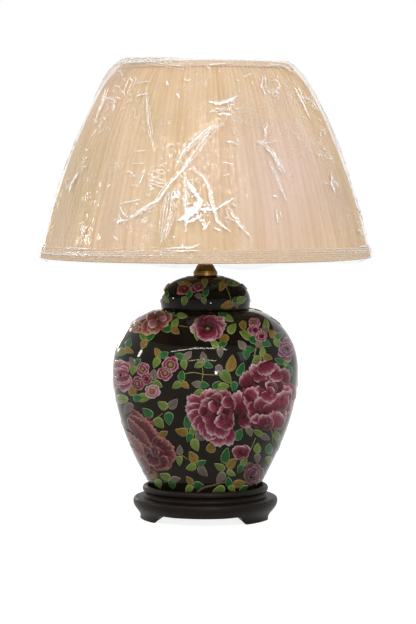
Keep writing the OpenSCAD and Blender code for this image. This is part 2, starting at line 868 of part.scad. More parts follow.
module clear_wrap() {
    over_r = binding_r + binding_t + gap;
    low = side_len + braid_drop + gap;
    inside = concat(arch(over_r, film_over), side_line(2, low, film_top_n, film_low_n),
                    [side_down(low, binding_in_n)]);
    outside = concat(arch(over_r + film_t, film_over),
                     side_line(2, low + film_t, film_top_n + film_t, film_low_n + film_t),
                     [side_down(low + film_t, binding_in_n)]);
    color([0.95, 0.93, 0.9, 0.3]) turned(concat(outside, reversed(inside)));
}

stand_top();
stand_aprons();
stand_feet();
cord_bush();
rod_washer();
lock_washer();
hex_nut();
threaded_rod();
jar();
lid();
vase_cap();
harp_saddle();
socket_cup();
cup_screw();
socket_shell();
paper_liner();
switch_body();
screw_shell();
centre_contact();
harp_bow();
harp_stud();
sleeve_left();
sleeve_right();
finial();
top_ring();
bottom_ring();
frame_ribs();
spider_hub();
spider_arms();
shade_lining();
pleated_cover();
top_binding();
bottom_braid();
clear_wrap();
bulb_glass();
bulb_base();
bulb_contact();
key_stem();
key_knob();
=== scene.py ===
import math
import random

import bpy
import numpy as np
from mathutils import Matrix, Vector, noise as field


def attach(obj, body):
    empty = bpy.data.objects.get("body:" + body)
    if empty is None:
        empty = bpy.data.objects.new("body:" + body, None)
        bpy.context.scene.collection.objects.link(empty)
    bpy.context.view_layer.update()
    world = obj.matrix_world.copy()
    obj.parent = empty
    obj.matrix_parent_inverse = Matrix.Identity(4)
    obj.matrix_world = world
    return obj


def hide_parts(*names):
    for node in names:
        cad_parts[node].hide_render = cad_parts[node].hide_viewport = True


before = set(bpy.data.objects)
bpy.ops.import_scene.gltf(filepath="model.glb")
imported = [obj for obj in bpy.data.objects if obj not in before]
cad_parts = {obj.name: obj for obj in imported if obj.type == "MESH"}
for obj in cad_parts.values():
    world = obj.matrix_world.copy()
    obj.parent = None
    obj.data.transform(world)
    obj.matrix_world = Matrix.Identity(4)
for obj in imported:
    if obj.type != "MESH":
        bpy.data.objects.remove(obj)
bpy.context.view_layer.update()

# Studio: the lamp stands on a pale sheet before a white ground, seen from 3.1 m in front and a
# little above the middle of the shade. A window and a side fill light it, and the tubes, panes
# and small lamps are seen only as highlights in the glaze, the brass and the film.

photo_wide, photo_high = 416, 624  # the photograph, in its pixels
photo_mid = (photo_wide / 2, photo_high / 2)
lens_px = 2274  # focal length in pixels of the photograph
sensor = 36  # mm
look_down = math.radians(3.57)
eye = np.array([3.6, -3136.0, 481.0])  # camera, mm
floor_half = 6  # m


def placed(name, data):
    """An object in the scene that shows its data where they are."""
    made = bpy.data.objects.new(name, data)
    bpy.context.scene.collection.objects.link(made)
    return made


shot = bpy.data.cameras.new("camera")
shot.sensor_width = sensor
shot.lens = sensor * lens_px / photo_high
camera = placed("camera", shot)
camera.location = eye / 1000
camera.rotation_euler = (math.pi / 2 - look_down, 0, 0)
bpy.context.scene.camera = camera
bpy.context.scene.view_settings.view_transform = "Standard"


class Term:
    """A value in a node tree, so that its sums are written with + - * and /."""

    def __init__(self, tree, socket):
        self.tree, self.socket = tree, socket

    def step(self, operation, *values):
        """This value after one more operation."""
        return term(self.tree, "ShaderNodeMath", (self, *values), operation=operation)

    def __add__(self, other):
        return self.step("ADD", other)

    def __sub__(self, other):
        return self.step("SUBTRACT", other)

    def __rsub__(self, other):
        return term(self.tree, "ShaderNodeMath", (other, self), operation="SUBTRACT")

    def __mul__(self, other):
        return self.step("MULTIPLY", other)

    def __truediv__(self, other):
        return self.step("DIVIDE", other)

    def ranged(self, low, high, to_low=0.0, to_high=1.0):
        """This value's range from low to high brought to a new one, and held within it."""
        return term(self.tree, "ShaderNodeMapRange", (self, low, high, to_low, to_high))


def add(tree, kind, feeds=(), **settings):
    """A node with its settings, its inputs fed by other nodes or by plain values."""
    node = tree.nodes.new(kind)
    for key, value in settings.items():
        setattr(node, key, value)
    for place, value in feeds.items() if isinstance(feeds, dict) else enumerate(feeds):
        if isinstance(value, Term):
            tree.links.new(value.socket, node.inputs[place])
        elif value is not None:
            node.inputs[place].default_value = value
    return node


def term(tree, kind, feeds=(), output=0, **settings):
    """What one output of a new node gives."""
    return Term(tree, add(tree, kind, feeds, **settings).outputs[output])


def tint(code):
    """Linear colour of an sRGB code such as e8cfae."""
    parts = [int(code[i:i + 2], 16) / 255 for i in (0, 2, 4)]
    return tuple(c / 12.92 if c < 0.04045 else ((c + 0.055) / 1.055) ** 2.4 for c in parts)


def seen_by_eye(tree):
    """1 for rays from the camera, and for those that gloss or glass sends on."""
    straight, gloss, glass = (term(tree, "ShaderNodeLightPath", (), f"Is {way} Ray")
                              for way in ("Camera", "Glossy", "Transmission"))
    return straight.step("MAXIMUM", gloss).step("MAXIMUM", glass)


world = bpy.data.worlds.new("white_ground")
world.use_nodes = True
sky = world.node_tree
sky.nodes.clear()
room = term(sky, "ShaderNodeBackground", ((0.99, 0.97, 0.95, 1), 0.67))
white = term(sky, "ShaderNodeBackground", ((1, 1, 1, 1), 1.0))
ground = term(sky, "ShaderNodeMixShader", (seen_by_eye(sky), room, white))
add(sky, "ShaderNodeOutputWorld", {"Surface": ground})
bpy.context.scene.world = world

floor_corners = [(x * floor_half, y * floor_half, 0) for x, y in ((-1, -1), (1, -1), (1, 1), (-1, 1))]
floor_mesh = bpy.data.meshes.new("floor")
floor_mesh.from_pydata(floor_corners, [], [(0, 1, 2, 3)])
floor = placed("floor", floor_mesh)
pale = bpy.data.materials.new("pale_sheet")
pale.use_nodes = True
sheet_tree = pale.node_tree
sheet_tree.nodes.clear()
matt = term(sheet_tree, "ShaderNodeBsdfDiffuse", ((0.42, 0.41, 0.4, 1),))
glow = term(sheet_tree, "ShaderNodeEmission", ((1, 1, 1, 1), seen_by_eye(sheet_tree) * 0.86))
lit = term(sheet_tree, "ShaderNodeAddShader", (matt, glow))
add(sheet_tree, "ShaderNodeOutputMaterial", {"Surface": lit})
floor_mesh.materials.append(pale)


def lamp(name, place, aim, width, height, watts, colour, mirrored):
    """A lamp seen only as a highlight, or only by the light it sheds."""
    data = bpy.data.lights.new(name, "AREA")
    data.shape, data.size, data.size_y = "RECTANGLE", width, height
    data.energy, data.color = watts, colour
    light = placed(name, data)
    light.location = place
    gaze = np.array(aim) - np.array(place)
    flat = math.hypot(gaze[0], gaze[1])
    light.rotation_euler = (math.atan2(flat, -gaze[2]), 0, math.atan2(-gaze[0], gaze[1]))
    light.visible_camera = False
    light.visible_glossy, light.visible_diffuse = mirrored, not mirrored


lamp("window", (1.5, -2.3, 1.5), (0, 0, 0.35), 1.2, 1.5, 28, (1.0, 0.98, 0.95), False)
lamp("side_fill", (-2.2, -1.0, 1.3), (0, 0, 0.35), 1.0, 1.6, 17, (1.0, 0.97, 0.92), False)
lamp("ceiling_tube", (-0.40, -1.62, 1.78), (-0.4, 0, 0.25), 2.8, 0.035, 36, (1.0, 0.93, 0.82), True)
lamp("far_tube", (-0.27, -3.1, 1.5), (-0.2, 0, 0.25), 2.0, 0.035, 22, (1.0, 0.9, 0.78), True)
lamp("low_lamp", (0.46, -2.04, 0.32), (0, 0, 0.25), 0.14, 0.16, 10, (0.92, 0.96, 1.0), True)
lamp("left_pane", (-1.96, 0.10, 0.91), (0, 0, 0.25), 0.14, 0.3, 9, (1.0, 0.98, 0.93), True)
lamp("right_pane", (1.4, -1.26, 1.1), (0, 0, 0.25), 0.3, 0.5, 2.2, (0.75, 0.85, 1.0), True)
lamp("back_lamp", (-0.75, 1.85, 0.45), (0, 0, 0.25), 0.4, 0.3, 3, (1.0, 0.85, 0.6), True)

# Wooden stand: a turned top with a bead and a cove, glued on a ring of three carved ogee feet
# and the aprons between them. Hardwood, stained near black, waxed and rubbed on its edges.

stand_h, rim_r, rim_in_r, seat_z, web_z, neck_low_z, bead_low_z = 46, 86.9, 80.5, 38, 28, 31, 37.5
recess_r, toe_r, stand_r, belly_z = 70, 91, 100, 23.9
foot_turn = -6  # degrees from a foot straight at the back
rod_hole = 5.15


def cubic(*handles, steps=24):
    """Points on a cubic curve from the first handle to the last."""
    a, b, c, d = (np.array(h, float) for h in handles)
    t = np.linspace(0, 1, steps + 1)[:, None]
    return (1 - t) ** 3 * a + 3 * (1 - t) ** 2 * t * b + 3 * (1 - t) * t * t * c + t ** 3 * d


def around(radius, height, turn):
    """Points in mm at a turn from the front (-Y) towards the right (+X)."""
    return np.stack([radius * np.sin(turn), -radius * np.cos(turn), height + 0 * turn], axis=-1)


def piece(name, points, faces, material, body, smooth=True):
    """A mesh piece from points in mm, riding on a body."""
    mesh = bpy.data.meshes.new(name)
    mesh.from_pydata((np.asarray(points, float) / 1000).reshape(-1, 3).tolist(), [], faces)
    mesh.materials.append(material)
    if smooth:
        mesh.shade_smooth()
    made = placed(name, mesh)
    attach(made, body)
    return made


def loops(grid, closed_columns=True):
    """Quads of a grid of points that closes round its rows, and round its columns too if told."""
    rows, columns = grid.shape[:2]
    faces = []
    for i in range(rows):
        for j in range(columns if closed_columns else columns - 1):
            k, m = (i + 1) % rows, (j + 1) % columns
            faces.append((i * columns + j, k * columns + j, k * columns + m, i * columns + m))
    return faces


def turned(name, outline, material, body, steps):
    """A lathe-turned piece: its closed outline (radius, height) runs up the outside."""
    radii, heights = np.array(outline, float).T
    grid = np.array([around(radii, heights, i * 2 * math.pi / steps) for i in range(steps)])
    return piece(name, grid, loops(grid), material, body)


def material_of(name, colour, roughness, metallic=0.0, **sockets):
    """A material with its tree and its shader, whose other inputs are given by name."""
    made = bpy.data.materials.new(name)
    made.use_nodes = True
    shader = made.node_tree.nodes["Principled BSDF"]
    plain = {"Base_Color": (*colour, 1), "Roughness": roughness, "Metallic": metallic}
    for label, value in {**plain, **sockets}.items():
        shader.inputs[label.replace("_", " ")].default_value = value
    return made, made.node_tree, shader


def noise(where, scale, detail, stretch=None, rough=0.5):
    """Noise at the given points, stretched along an axis where the grain runs."""
    if stretch:
        where = term(where.tree, "ShaderNodeMapping", {"Vector": where, "Scale": stretch})
    return term(where.tree, "ShaderNodeTexNoise",
                {"Vector": where, "Scale": scale, "Detail": detail, "Roughness": rough})


def object_points(tree):
    return term(tree, "ShaderNodeTexCoord", (), "Object")


def between(factor, first, second):
    """Colour mixed from the first to the second, each a value, a colour or an sRGB code."""
    ends = {i: (*tint(end), 1) if isinstance(end, str) else end for i, end in ((6, first), (7, second))}
    return term(factor.tree, "ShaderNodeMix", {0: factor, **ends}, 2, data_type="RGBA")


def feed(shader, label, value):
    """Links a value to an input of a shader."""
    value.tree.links.new(value.socket, shader.inputs[label])


def bumped(shader, height, distance, strength):
    """Raises a shader's surface where the height is large, by a distance in metres."""
    feed(shader, "Normal", term(height.tree, "ShaderNodeBump",
                                {"Strength": strength, "Distance": distance, "Height": height}))


wood, tree, shader = material_of("stained_wood", tint("1a130e"), 0.46, Specular_IOR_Level=0.1)
grain = noise(object_points(tree), 26, 6, (1, 6, 9), 0.62)
pores = noise(object_points(tree), 190, 2, (1, 5, 7))
feed(shader, "Base Color", between(grain.ranged(0.3, 0.72), "0e0a07", "1f160f"))
feed(shader, "Roughness", pores.ranged(0.3, 0.7, 0.36, 0.5))
bumped(shader, grain + pores * 0.4, 0.0005, 0.4)

bead = cubic((rim_r - 1.6, bead_low_z), (rim_r + 0.6, bead_low_z + 2), (rim_r + 0.8, stand_h - 1.5),
             (rim_in_r + 4, stand_h), steps=14)
turned_top = turned("stand_turned_top", [
    (rod_hole, web_z), (recess_r - 0.3, web_z), (recess_r - 0.3, neck_low_z), (rim_r - 2.6, neck_low_z),
    (rim_r - 3.1, neck_low_z + 0.5), (rim_r - 3.3, neck_low_z + 1.4), (rim_r - 3.3, bead_low_z - 1.3),
    (rim_r - 2.9, bead_low_z - 0.6), (rim_r - 2.2, bead_low_z - 0.3), *bead, (rim_in_r + 0.8, stand_h),
    (rim_in_r + 0.2, stand_h - 0.2), (rim_in_r, stand_h - 0.8), (rim_in_r, seat_z + 0.4),
    (rim_in_r - 0.4, seat_z), (rod_hole, seat_z)], wood, "base", 256)
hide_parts("stand_top")

foot_half_w, bracket_w, bracket_top, apron_gap = 27, 15, 0.8, 11
gap_half_w = toe_r * math.sin(math.radians(60) - math.asin(foot_half_w / toe_r))
toe_x, bracket_z = gap_half_w + bracket_w * 0.3, apron_gap + bracket_top
bracket = cubic((toe_x, 0), (toe_x - 9, 0), (toe_x - 6, bracket_z), (toe_x - bracket_w, bracket_z))
arch_x = np.concatenate([[0, gap_half_w * 0.55], bracket[::-1, 0]])
arch_z = np.concatenate([[apron_gap, apron_gap], bracket[::-1, 1]])
ogee = np.vstack([[(toe_r - 1.6, 0), (toe_r - 0.4, 0.4), (toe_r, 1.6)],
                  cubic((toe_r - 0.9, 4.4), (toe_r, 11), (stand_r, 16.2), (stand_r, belly_z), steps=20)])
shoulder = cubic((stand_r, belly_z + 1), (stand_r, 30.4), (stand_r - 4, neck_low_z),
                 (rim_r - 2.4, neck_low_z), steps=16)
feet, ring_step = 3, 0.5  # degrees
foot_step = 360 / feet
sections = []
for degrees in np.arange(0, 360, ring_step):
    # turn from the middle of the nearest gap between two feet
    off = (degrees - foot_turn) % foot_step
    off = math.radians(off - foot_step if off > foot_step / 2 else off)
    low_out = np.interp(abs(toe_r * math.sin(off)), arch_x, arch_z)
    low_in = np.interp(abs(recess_r * math.sin(off)), arch_x, arch_z)
    heights = np.linspace(low_out, belly_z, 22)
    outside = np.stack([np.interp(heights, ogee[:, 1], ogee[:, 0]), heights], axis=1)
    section = np.vstack([[(recess_r, low_in), (recess_r + 0.3, low_in), (outside[0, 0] - 0.6, low_out)],
                         outside, shoulder, [(recess_r, neck_low_z)]])
    sections.append(around(*section.T, math.radians(degrees)))
sections = np.array(sections)
carved_ring = piece("stand_carved_ring", sections, loops(sections), wood, "base")
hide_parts("stand_aprons", "stand_feet")

# Cord bush: a moulded black bush with a rounded flange, pushed into the ring from outside.
# It lines the way that a flex takes under the stand.


def finish(name, code, roughness, grain, bump, tones=None, gloss=None, **sockets):
    """A material with one noise in its surface, and also in its colour and gloss where given.

    grain is the noise's scale, detail, stretch and roughness, tones its range and two colours."""
    made, tree, shader = material_of(name, tint(code), roughness, **sockets)
    pattern = noise(object_points(tree), *grain)
    if tones:
        low, high, first, second = tones
        feed(shader, "Base Color", between(pattern.ranged(low, high), first, second))
    if gloss:
        feed(shader, "Roughness", pattern.ranged(0.3, 0.7, *gloss))
    bumped(shader, pattern, *bump)
    return made


def dress(material, *nodes):
    """Gives CAD solids their finish."""
    for node in nodes:
        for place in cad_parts[node].material_slots:
            place.material = material


black_plastic = finish("moulded_black", "1a1a1a", 0.38, (1500, 2), (0.0001, 0.3))
dress(black_plastic, "cord_bush")

# Fixings under the stand: a zinc-plated washer, spring washer and hollow threaded rod, and a
# brass hexagon nut that pulls the whole lamp together from below.

zinc = finish("zinc_plate", "b7b9ba", 0.38, (700, 3, (1, 1, 0.15)), (0.0001, 0.25), gloss=(0.3, 0.46),
              metallic=1.0)
dress(zinc, "rod_washer", "lock_washer", "threaded_rod", "cup_screw")
old_brass = finish("antiqued_brass", "6a4f2a", 0.36, (90, 5, None, 0.6), (0.0003, 0.2),
                   tones=(0.35, 0.7, "4a361d", "8a6a3a"), gloss=(0.26, 0.46), metallic=1.0)
dress(old_brass, "hex_nut", "vase_cap")

# Porcelain jar: thrown, glazed black all over and fired. Its wall runs from a foot ring in the
# stand's seat over a wide shoulder to a ledge and a neck under the lid.

jar_r, belly, ledge_z, ledge_r, neck_r, neck_h = 128.2, 205, 289.2, 64, 51, 13
foot_in_r, foot_out_r, jar_wall, floor_low_z, floor_top_z = 64, 73, 5, 42, 47

glaze = finish("black_glaze", "0f0a07", 0.06, (42, 3), (0.0012, 0.22), tones=(0.35, 0.7, "15110a", "211b11"),
               Specular_IOR_Level=0.1)
jar_side = np.vstack([
    cubic((foot_out_r + 1, seat_z + 2), (90.1, 74.1), (jar_r, 134), (jar_r, belly), steps=48)[:-1],
    cubic((jar_r, belly), (jar_r, 258), (90, 286), (ledge_r, ledge_z), steps=48)])
neck_in_r = neck_r - jar_wall
inner_side = jar_side[4:-6] - np.array([jar_wall, 0])
inner_side = inner_side[inner_side[:, 0] > neck_in_r + 1]
jar = turned("jar_body", [
    (foot_in_r, seat_z), (foot_out_r - 0.6, seat_z), (foot_out_r, seat_z + 0.6), *jar_side,
    (neck_r + 0.8, ledge_z), (neck_r, ledge_z + 0.6), (neck_r, ledge_z + neck_h - 1.4),
    (neck_r - 1.4, ledge_z + neck_h), (neck_in_r + 1, ledge_z + neck_h), (neck_in_r, ledge_z + neck_h - 1),
    (neck_in_r, ledge_z - 5), *inner_side[::-1], (foot_in_r, floor_top_z + 1), (rod_hole, floor_top_z),
    (rod_hole, floor_low_z), (foot_in_r, floor_low_z)], glaze, "base", 240)
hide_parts("jar")

# Painted flowers on the jar: raised overglaze enamels, laid on with a brush petal by petal and
# leaf by leaf and fired again. Peonies, small blossoms and sprigs cover it, front and back alike.
# Their places are pixels of the photograph, read and cast on the jar's side.

enamel_sunk = 0.3  # mm into the glaze, where a patch of enamel ends


def run_lengths(line):
    """How far each point of a line lies along it."""
    return np.concatenate([[0], np.cumsum(np.hypot(*np.diff(line, axis=0).T))])


def skin_of(side):
    """A surface of revolution: its side from the bottom up, its slope and the length along it."""
    along = run_lengths(side)
    slope = np.gradient(side, along, axis=0)
    return {"r": side[:, 0], "z": side[:, 1], "along": along, "slope_r": slope[:, 0], "slope_z": slope[:, 1]}


def on_skin(skin, turn, along, out):
    """Points in mm on a skin, out from it by a height."""
    r, z, slope_r, slope_z = (np.interp(along, skin["along"], skin[k])
                              for k in ("r", "z", "slope_r", "slope_z"))
    return around(r + out * slope_z, z - out * slope_r, turn)


def spot_at(skin, px, py):
    """Turn and length along the skin where a pixel of the photograph falls on it."""
    right, up = (px - photo_mid[0]) / lens_px, (photo_mid[1] - py) / lens_px
    ray = np.array([right, math.cos(look_down) + up * math.sin(look_down),
                    -math.sin(look_down) + up * math.cos(look_down)])
    # from before the lamp's near side to behind its axis, mm from the camera
    far = np.arange(2850, 3300, 0.5)[:, None]
    line = eye + ray * far
    inside = np.interp(line[:, 2], skin["z"], skin["r"], left=-99, right=-99)
    depth = np.hypot(line[:, 0], line[:, 1]) - inside
    hit = np.argmax(depth < 0) if (depth < 0).any() else np.argmin(depth)
    x, y, z = line[hit]
    return math.atan2(x, -y), float(np.interp(z, skin["z"], skin["along"]))


def flat_offset(skin, spot, px, py):
    """Where a pixel falls beside a spot, in mm to the right and up on the skin."""
    turn, along = spot_at(skin, px, py)
    r = np.interp(along, skin["along"], skin["r"])
    return np.array([(turn - spot[0]) * r, along - spot[1]])


def empty_enamel():
    return {"points": [], "faces": [], "colours": [], "map": [], "count": 0}


def lay_enamel(bag, skin, spot, flat, height, colour, a, t):
    """Lays one closed patch on the skin, and its twin on the far side.

    flat is a grid of points beside the spot, and its edge runs down into the glaze. Its map
    has a from -1 to 1 across the stroke and t from 0 to 1 along it."""
    rows, columns = flat.shape[:2]
    edge = ([(0, j) for j in range(columns)] + [(i, columns - 1) for i in range(1, rows)]
            + [(rows - 1, j) for j in range(columns - 2, -1, -1)] + [(i, 0) for i in range(rows - 2, 0, -1)])
    rim = [i * columns + j for i, j in edge]
    along = spot[1] + flat[..., 1]
    along = np.clip(along, 0.5, skin["along"][-1] - 0.5)
    turn = spot[0] + flat[..., 0] / np.interp(along, skin["along"], skin["r"])
    chart = np.stack([a / 2 + 0.5 + 0 * height, t + 0 * height], axis=-1).reshape(-1, 2)
    paint = np.clip(colour, 0, 1).reshape(-1, 3)
    ring = len(rim)
    for far_side in (0, math.pi):
        top = on_skin(skin, turn + far_side, along, height).reshape(-1, 3)
        foot = on_skin(skin, turn + far_side, along, 0 * height - enamel_sunk).reshape(-1, 3)[rim]
        start = bag["count"]
        under = start + rows * columns
        for i in range(rows - 1):
            for j in range(columns - 1):
                k = start + i * columns + j
                bag["faces"].append((k, k + 1, k + columns + 1, k + columns))
        for k in range(ring):
            m = (k + 1) % ring
            bag["faces"].append((under + k, under + m, start + rim[m], start + rim[k]))
        bag["faces"].append(tuple(under + k for k in range(ring - 1, -1, -1)))
        bag["points"] += [top, foot]
        bag["colours"] += [paint, paint[rim]]
        bag["map"] += [chart, chart[rim]]
        bag["count"] = under + ring


leaf_paints = {"L": ("647c34", "aab07c"), "E": ("1f5e2c", "93a878"), "O": ("7d6528", "a69a66"),
               "M": ("6c6058", "9c9484")}


def leaf(bag, skin, spot, base, tip, over, paint, chance, lift=0.0):
    """A leaf with a pointed tip and a pale outline, from base to tip and across, in mm."""
    inner, rim = (np.array(tint(c)) for c in leaf_paints[paint])
    t = np.array([0, 0.06, 0.16, 0.3, 0.46, 0.62, 0.78, 0.9, 0.97, 1])[:, None]
    a = np.array([-1, -0.8, -0.4, 0, 0.4, 0.8, 1])[None, :]
    broad = np.hypot(*over) / 2
    half = np.maximum(2.5 * t ** 0.5 * (1 - t) ** 0.92, 0.01)
    bend = chance.uniform(-0.16, 0.16) * np.sin(np.pi * t)
    # the outline keeps its width where the leaf narrows
    shrink = np.where(abs(a) == 0.8, np.maximum(0, 1 - 1.0 / (half * broad)) / 0.8, 1)
    flat = base + t[..., None] * (tip - base) + (a * half * shrink + bend)[..., None] * over / 2
    ends = np.clip(np.minimum(t, 1 - t) / 0.1, 0, 1)
    core = np.clip((1 - abs(a)) / 0.2, 0, 1) * ends
    height = lift + 0.22 + 0.3 * core + 0 * flat[..., 0]
    tone = chance.uniform(0.82, 1.2) * (1.12 - 0.3 * t + 0 * a)
    colour = rim + (inner * tone[..., None] - rim) * core[..., None]
    lay_enamel(bag, skin, spot, flat, height, colour, a, t)


petal_paints = {
    "R": ("5c0e22", "8c3552", "d2bcbc"), "C": ("4c0a16", "7a2038", "c4a5a8"),
    "D": ("601c20", "8a4540", "cbb08e"), "M": ("43132b", "703558", "b099a2"),
    "P": ("7d3c4e", "a5757c", "d8c6bc"), "K": ("350b13", "581a28", "804e54"),
    "B": ("5c1716", "802a29", "a8775e"),
    # S and V are darker copies of C and M: painted shade for the flowers low on the jar
    "S": ("3c0c16", "6f2434", "a88474"), "V": ("39121d", "5c2834", "8c7074")}


def petal(bag, skin, spot, base, tip, over, paint, chance, lift, lobes):
    """A petal that widens from its base to a scalloped edge, in mm beside the spot.

    A capital letter gives the edge its pale rim, and a small letter leaves it out."""
    deep, mid, pale_rim = (np.array(tint(c)) for c in petal_paints[paint.upper()])
    t = np.array([0, 0.24, 0.48, 0.68, 0.82, 0.92, 1])[:, None]
    a = np.linspace(-1, 1, 4 * lobes + 1)[None, :]
    half = 0.3 + 0.7 * np.sin(np.minimum(t / 0.7, 1) * np.pi / 2)
    notch = np.sqrt(abs(np.cos(lobes * math.pi * (a + 1) / 2 + math.pi / 2)))
    reach = (0.93 - 0.34 * a ** 2 - 0.06 * a ** 8 + 0.1 * notch * (1 - 0.4 * a ** 2)
             + 0.05 * np.sin(2.3 * a + chance.uniform(0, 6)))
    flat = base + (t * reach)[..., None] * (tip - base) + (a * half)[..., None] * over / 2
    height = lift + 0.14 + 0.3 * t ** 1.3 + 0.12 * (1 - a ** 2) * t
    blush = np.clip((t - 0.2) / 0.72, 0, 1)
    edge = np.clip((t - 0.78) / 0.18, 0, 1) * (0.72 + 0.28 * np.sin(3.1 * a + chance.uniform(0, 6)))
    edge = edge + 0.25 * np.clip((abs(a) - 0.86) / 0.14, 0, 1) * np.clip(t - 0.3, 0, 1)
    edge = np.clip(edge, 0, 0.95) * (1.0 if paint.isupper() else 0.12)
    tone = chance.uniform(0.8, 1.2)
    colour = (deep + (mid - deep) * blush[..., None]) * tone
    colour = colour + (pale_rim - colour) * edge[..., None]
    lay_enamel(bag, skin, spot, flat, height, colour, a, t)


def across(skin, spot, base, tip, width):
    """A width across the run between two pixels, as a vector in mm on the skin."""
    run = np.array(tip) - np.array(base)
    beside = np.array([-run[1], run[0]]) / np.hypot(*run) * width / 2
    middle = (np.array(base) + np.array(tip)) / 2
    return flat_offset(skin, spot, *(middle + beside)) - flat_offset(skin, spot, *(middle - beside))


def laid_out(skin, at, base, tip, width):
    """The spot of a pixel, and beside it a stroke's base, its tip and its width, in mm."""
    spot = spot_at(skin, *at)
    return (spot, flat_offset(skin, spot, *base), flat_offset(skin, spot, *tip),
            across(skin, spot, base, tip, width))


def read_marks(drawn):
    """The marks of a drawing, in order: the words of each, and its pixels."""
    for mark in drawn.split("/"):
        words = mark.split()
        yield ([word for word in words if "," not in word],
               [tuple(map(float, word.split(","))) for word in words if "," in word])


petal_overlap, lobe_w = 1.2, 4  # share of the drawn width, and pixels to a scallop


def drawn_petals(bag, skin, drawn, chance, lift, rise=0.09):
    """Petals in the order they overlap: each an enamel letter, its base, its tip and its width."""
    for count, ((paint, width), (base, tip)) in enumerate(read_marks(drawn)):
        middle = ((base[0] + tip[0]) / 2, (base[1] + tip[1]) / 2)
        petal(bag, skin, *laid_out(skin, middle, base, tip, float(width) * petal_overlap), paint, chance,
              lift + rise * count, max(2, round(float(width) / lobe_w)))


def eye_dot(bag, skin, spot, radius, code, lift):
    """The small domed centre of a blossom."""
    side = np.array([-1, -0.6, 0, 0.6, 1])
    square = np.stack(np.meshgrid(side, side), axis=-1)
    reach = np.maximum(abs(square[..., 0]), abs(square[..., 1]))
    norm = np.maximum(np.hypot(square[..., 0], square[..., 1]), 1e-6)
    disc = square * (reach / norm)[..., None]
    height = lift + 0.3 + 0.5 * (1 - reach ** 2)
    colour = np.array(tint(code)) * (0.75 + 0.4 * (1 - reach))[..., None]
    lay_enamel(bag, skin, spot, disc * radius, height, colour, disc[..., 0], 0.5 + disc[..., 1] / 2)


ring_rise = 0.3  # mm that each ring of petals stands over the one outside it
bloom_lobes = 2


def bloom(bag, skin, heart, reach, rings, paint, chance, lift, centre):
    """A flower of rings of petals, outermost first.

    reach is how far it goes from its heart to the right, and on anticlockwise by quarters, in
    pixels of the photograph; rings are (share of the reach, petals)."""
    quarter = 2 * math.pi / len(reach)
    for ring, (share, count) in enumerate(rings):
        shift = chance.uniform(0, 1)
        for i in range(count):
            a = (i + shift + chance.uniform(-0.14, 0.14)) * 2 * math.pi / count
            far = np.interp(a % (2 * math.pi), [k * quarter for k in range(len(reach))], reach,
                            period=2 * math.pi) * share * chance.uniform(0.9, 1.06)
            ahead = np.array([math.cos(a), -math.sin(a)]) * far
            base, tip = np.array(heart) + ahead * 0.16, np.array(heart) + ahead
            width = 2 * math.pi * far / count * 0.95
            petal(bag, skin, *laid_out(skin, (base + tip) / 2, base, tip, width), paint, chance,
                  lift + ring * ring_rise + 0.05 * (i % 3), bloom_lobes)
    if centre:
        spot = spot_at(skin, *heart)
        inner = np.hypot(*flat_offset(skin, spot, heart[0], heart[1] + min(reach) * 0.3))
        eye_dot(bag, skin, spot, max(inner, 1.4), centre, lift + len(rings) * ring_rise)


def evenly(line, least, gap):
    """Points along a line at even gaps, and no fewer than the least number."""
    steps = run_lengths(line)
    even = np.linspace(0, steps[-1], max(least, int(steps[-1] / gap)))
    return np.stack([np.interp(even, steps, line[:, k]) for k in (0, 1)], axis=1)


def ribbon(line, across_it, width):
    """A grid of points along a line, each row set out across it by its width."""
    ahead = np.gradient(line, axis=0)
    ahead /= np.hypot(*ahead.T)[:, None]
    side = np.stack([ahead[:, 1], -ahead[:, 0]], axis=1)
    return line[:, None, :] + (across_it * width / 2)[..., None] * side[:, None, :]


def stem(bag, skin, pixels, width, code):
    """A stem or branch drawn with one stroke through pixels of the photograph."""
    spot = spot_at(skin, *pixels[0])
    smooth = evenly(np.array([flat_offset(skin, spot, *p) for p in pixels]), 5, 2.5)
    for _ in range(3):
        smooth[1:-1] = (smooth[:-2] + 2 * smooth[1:-1] + smooth[2:]) / 4
    a = np.array([-1, -0.5, 0.5, 1])[None, :]
    taper = np.linspace(1.15, 0.75, len(smooth))[:, None]
    flat = ribbon(smooth, a, width * taper)
    height = 0.12 + 0.25 * (1 - a ** 2) + 0 * taper
    colour = np.array(tint(code)) * (0.85 + 0.3 * (abs(a) < 0.6))[..., None] + 0 * flat[..., :1]
    t = np.linspace(0, 1, len(smooth))[:, None]
    lay_enamel(bag, skin, spot, flat, height, colour, a, t)


longest_leaf, stalk_px = 7.4, 5.2  # half a leaf at most, and a lone leaf's stalk, in pixels


def sprigs(bag, skin, drawn, seed, least=5.7):
    """Leaves in sprigs, each letter an enamel and each number pair the middle of that leaf.

    The leaves of a sprig spread from its middle, and a lone leaf hangs from its stalk."""
    chance = random.Random(seed)
    for group in drawn.split("/"):
        leaves = [(word[0], *map(float, word[1:].split(","))) for word in group.split()]
        joint = np.mean([(x, y) for _, x, y in leaves], axis=0)
        for paint, x, y in leaves:
            if len(leaves) == 1:
                lean = chance.uniform(-2.5, 2.5)
                joint = (x - lean, y - stalk_px)
            out = np.array([x, y]) - joint
            far = max(np.hypot(*out), 1e-3)
            out = out / far * min(max(far, least), longest_leaf)
            base, tip = (x - out[0] * 0.84, y - out[1] * 0.84), (x + out[0], y + out[1])
            width = np.hypot(*out) * chance.uniform(1.12, 1.36)
            leaf(bag, skin, *laid_out(skin, (x, y), base, tip, width), paint, chance, chance.uniform(0, 0.12))


def tell_points(mesh, label, colours):
    """Stores a colour, or a tone, for each point of a mesh."""
    told = mesh.color_attributes.new(label, "FLOAT_COLOR", "POINT")
    told.data.foreach_set("color", colours.ravel())


def corners_of(mesh):
    """The point at each corner of each face."""
    corners = np.empty(len(mesh.loops), int)
    mesh.loops.foreach_get("vertex_index", corners)
    return corners


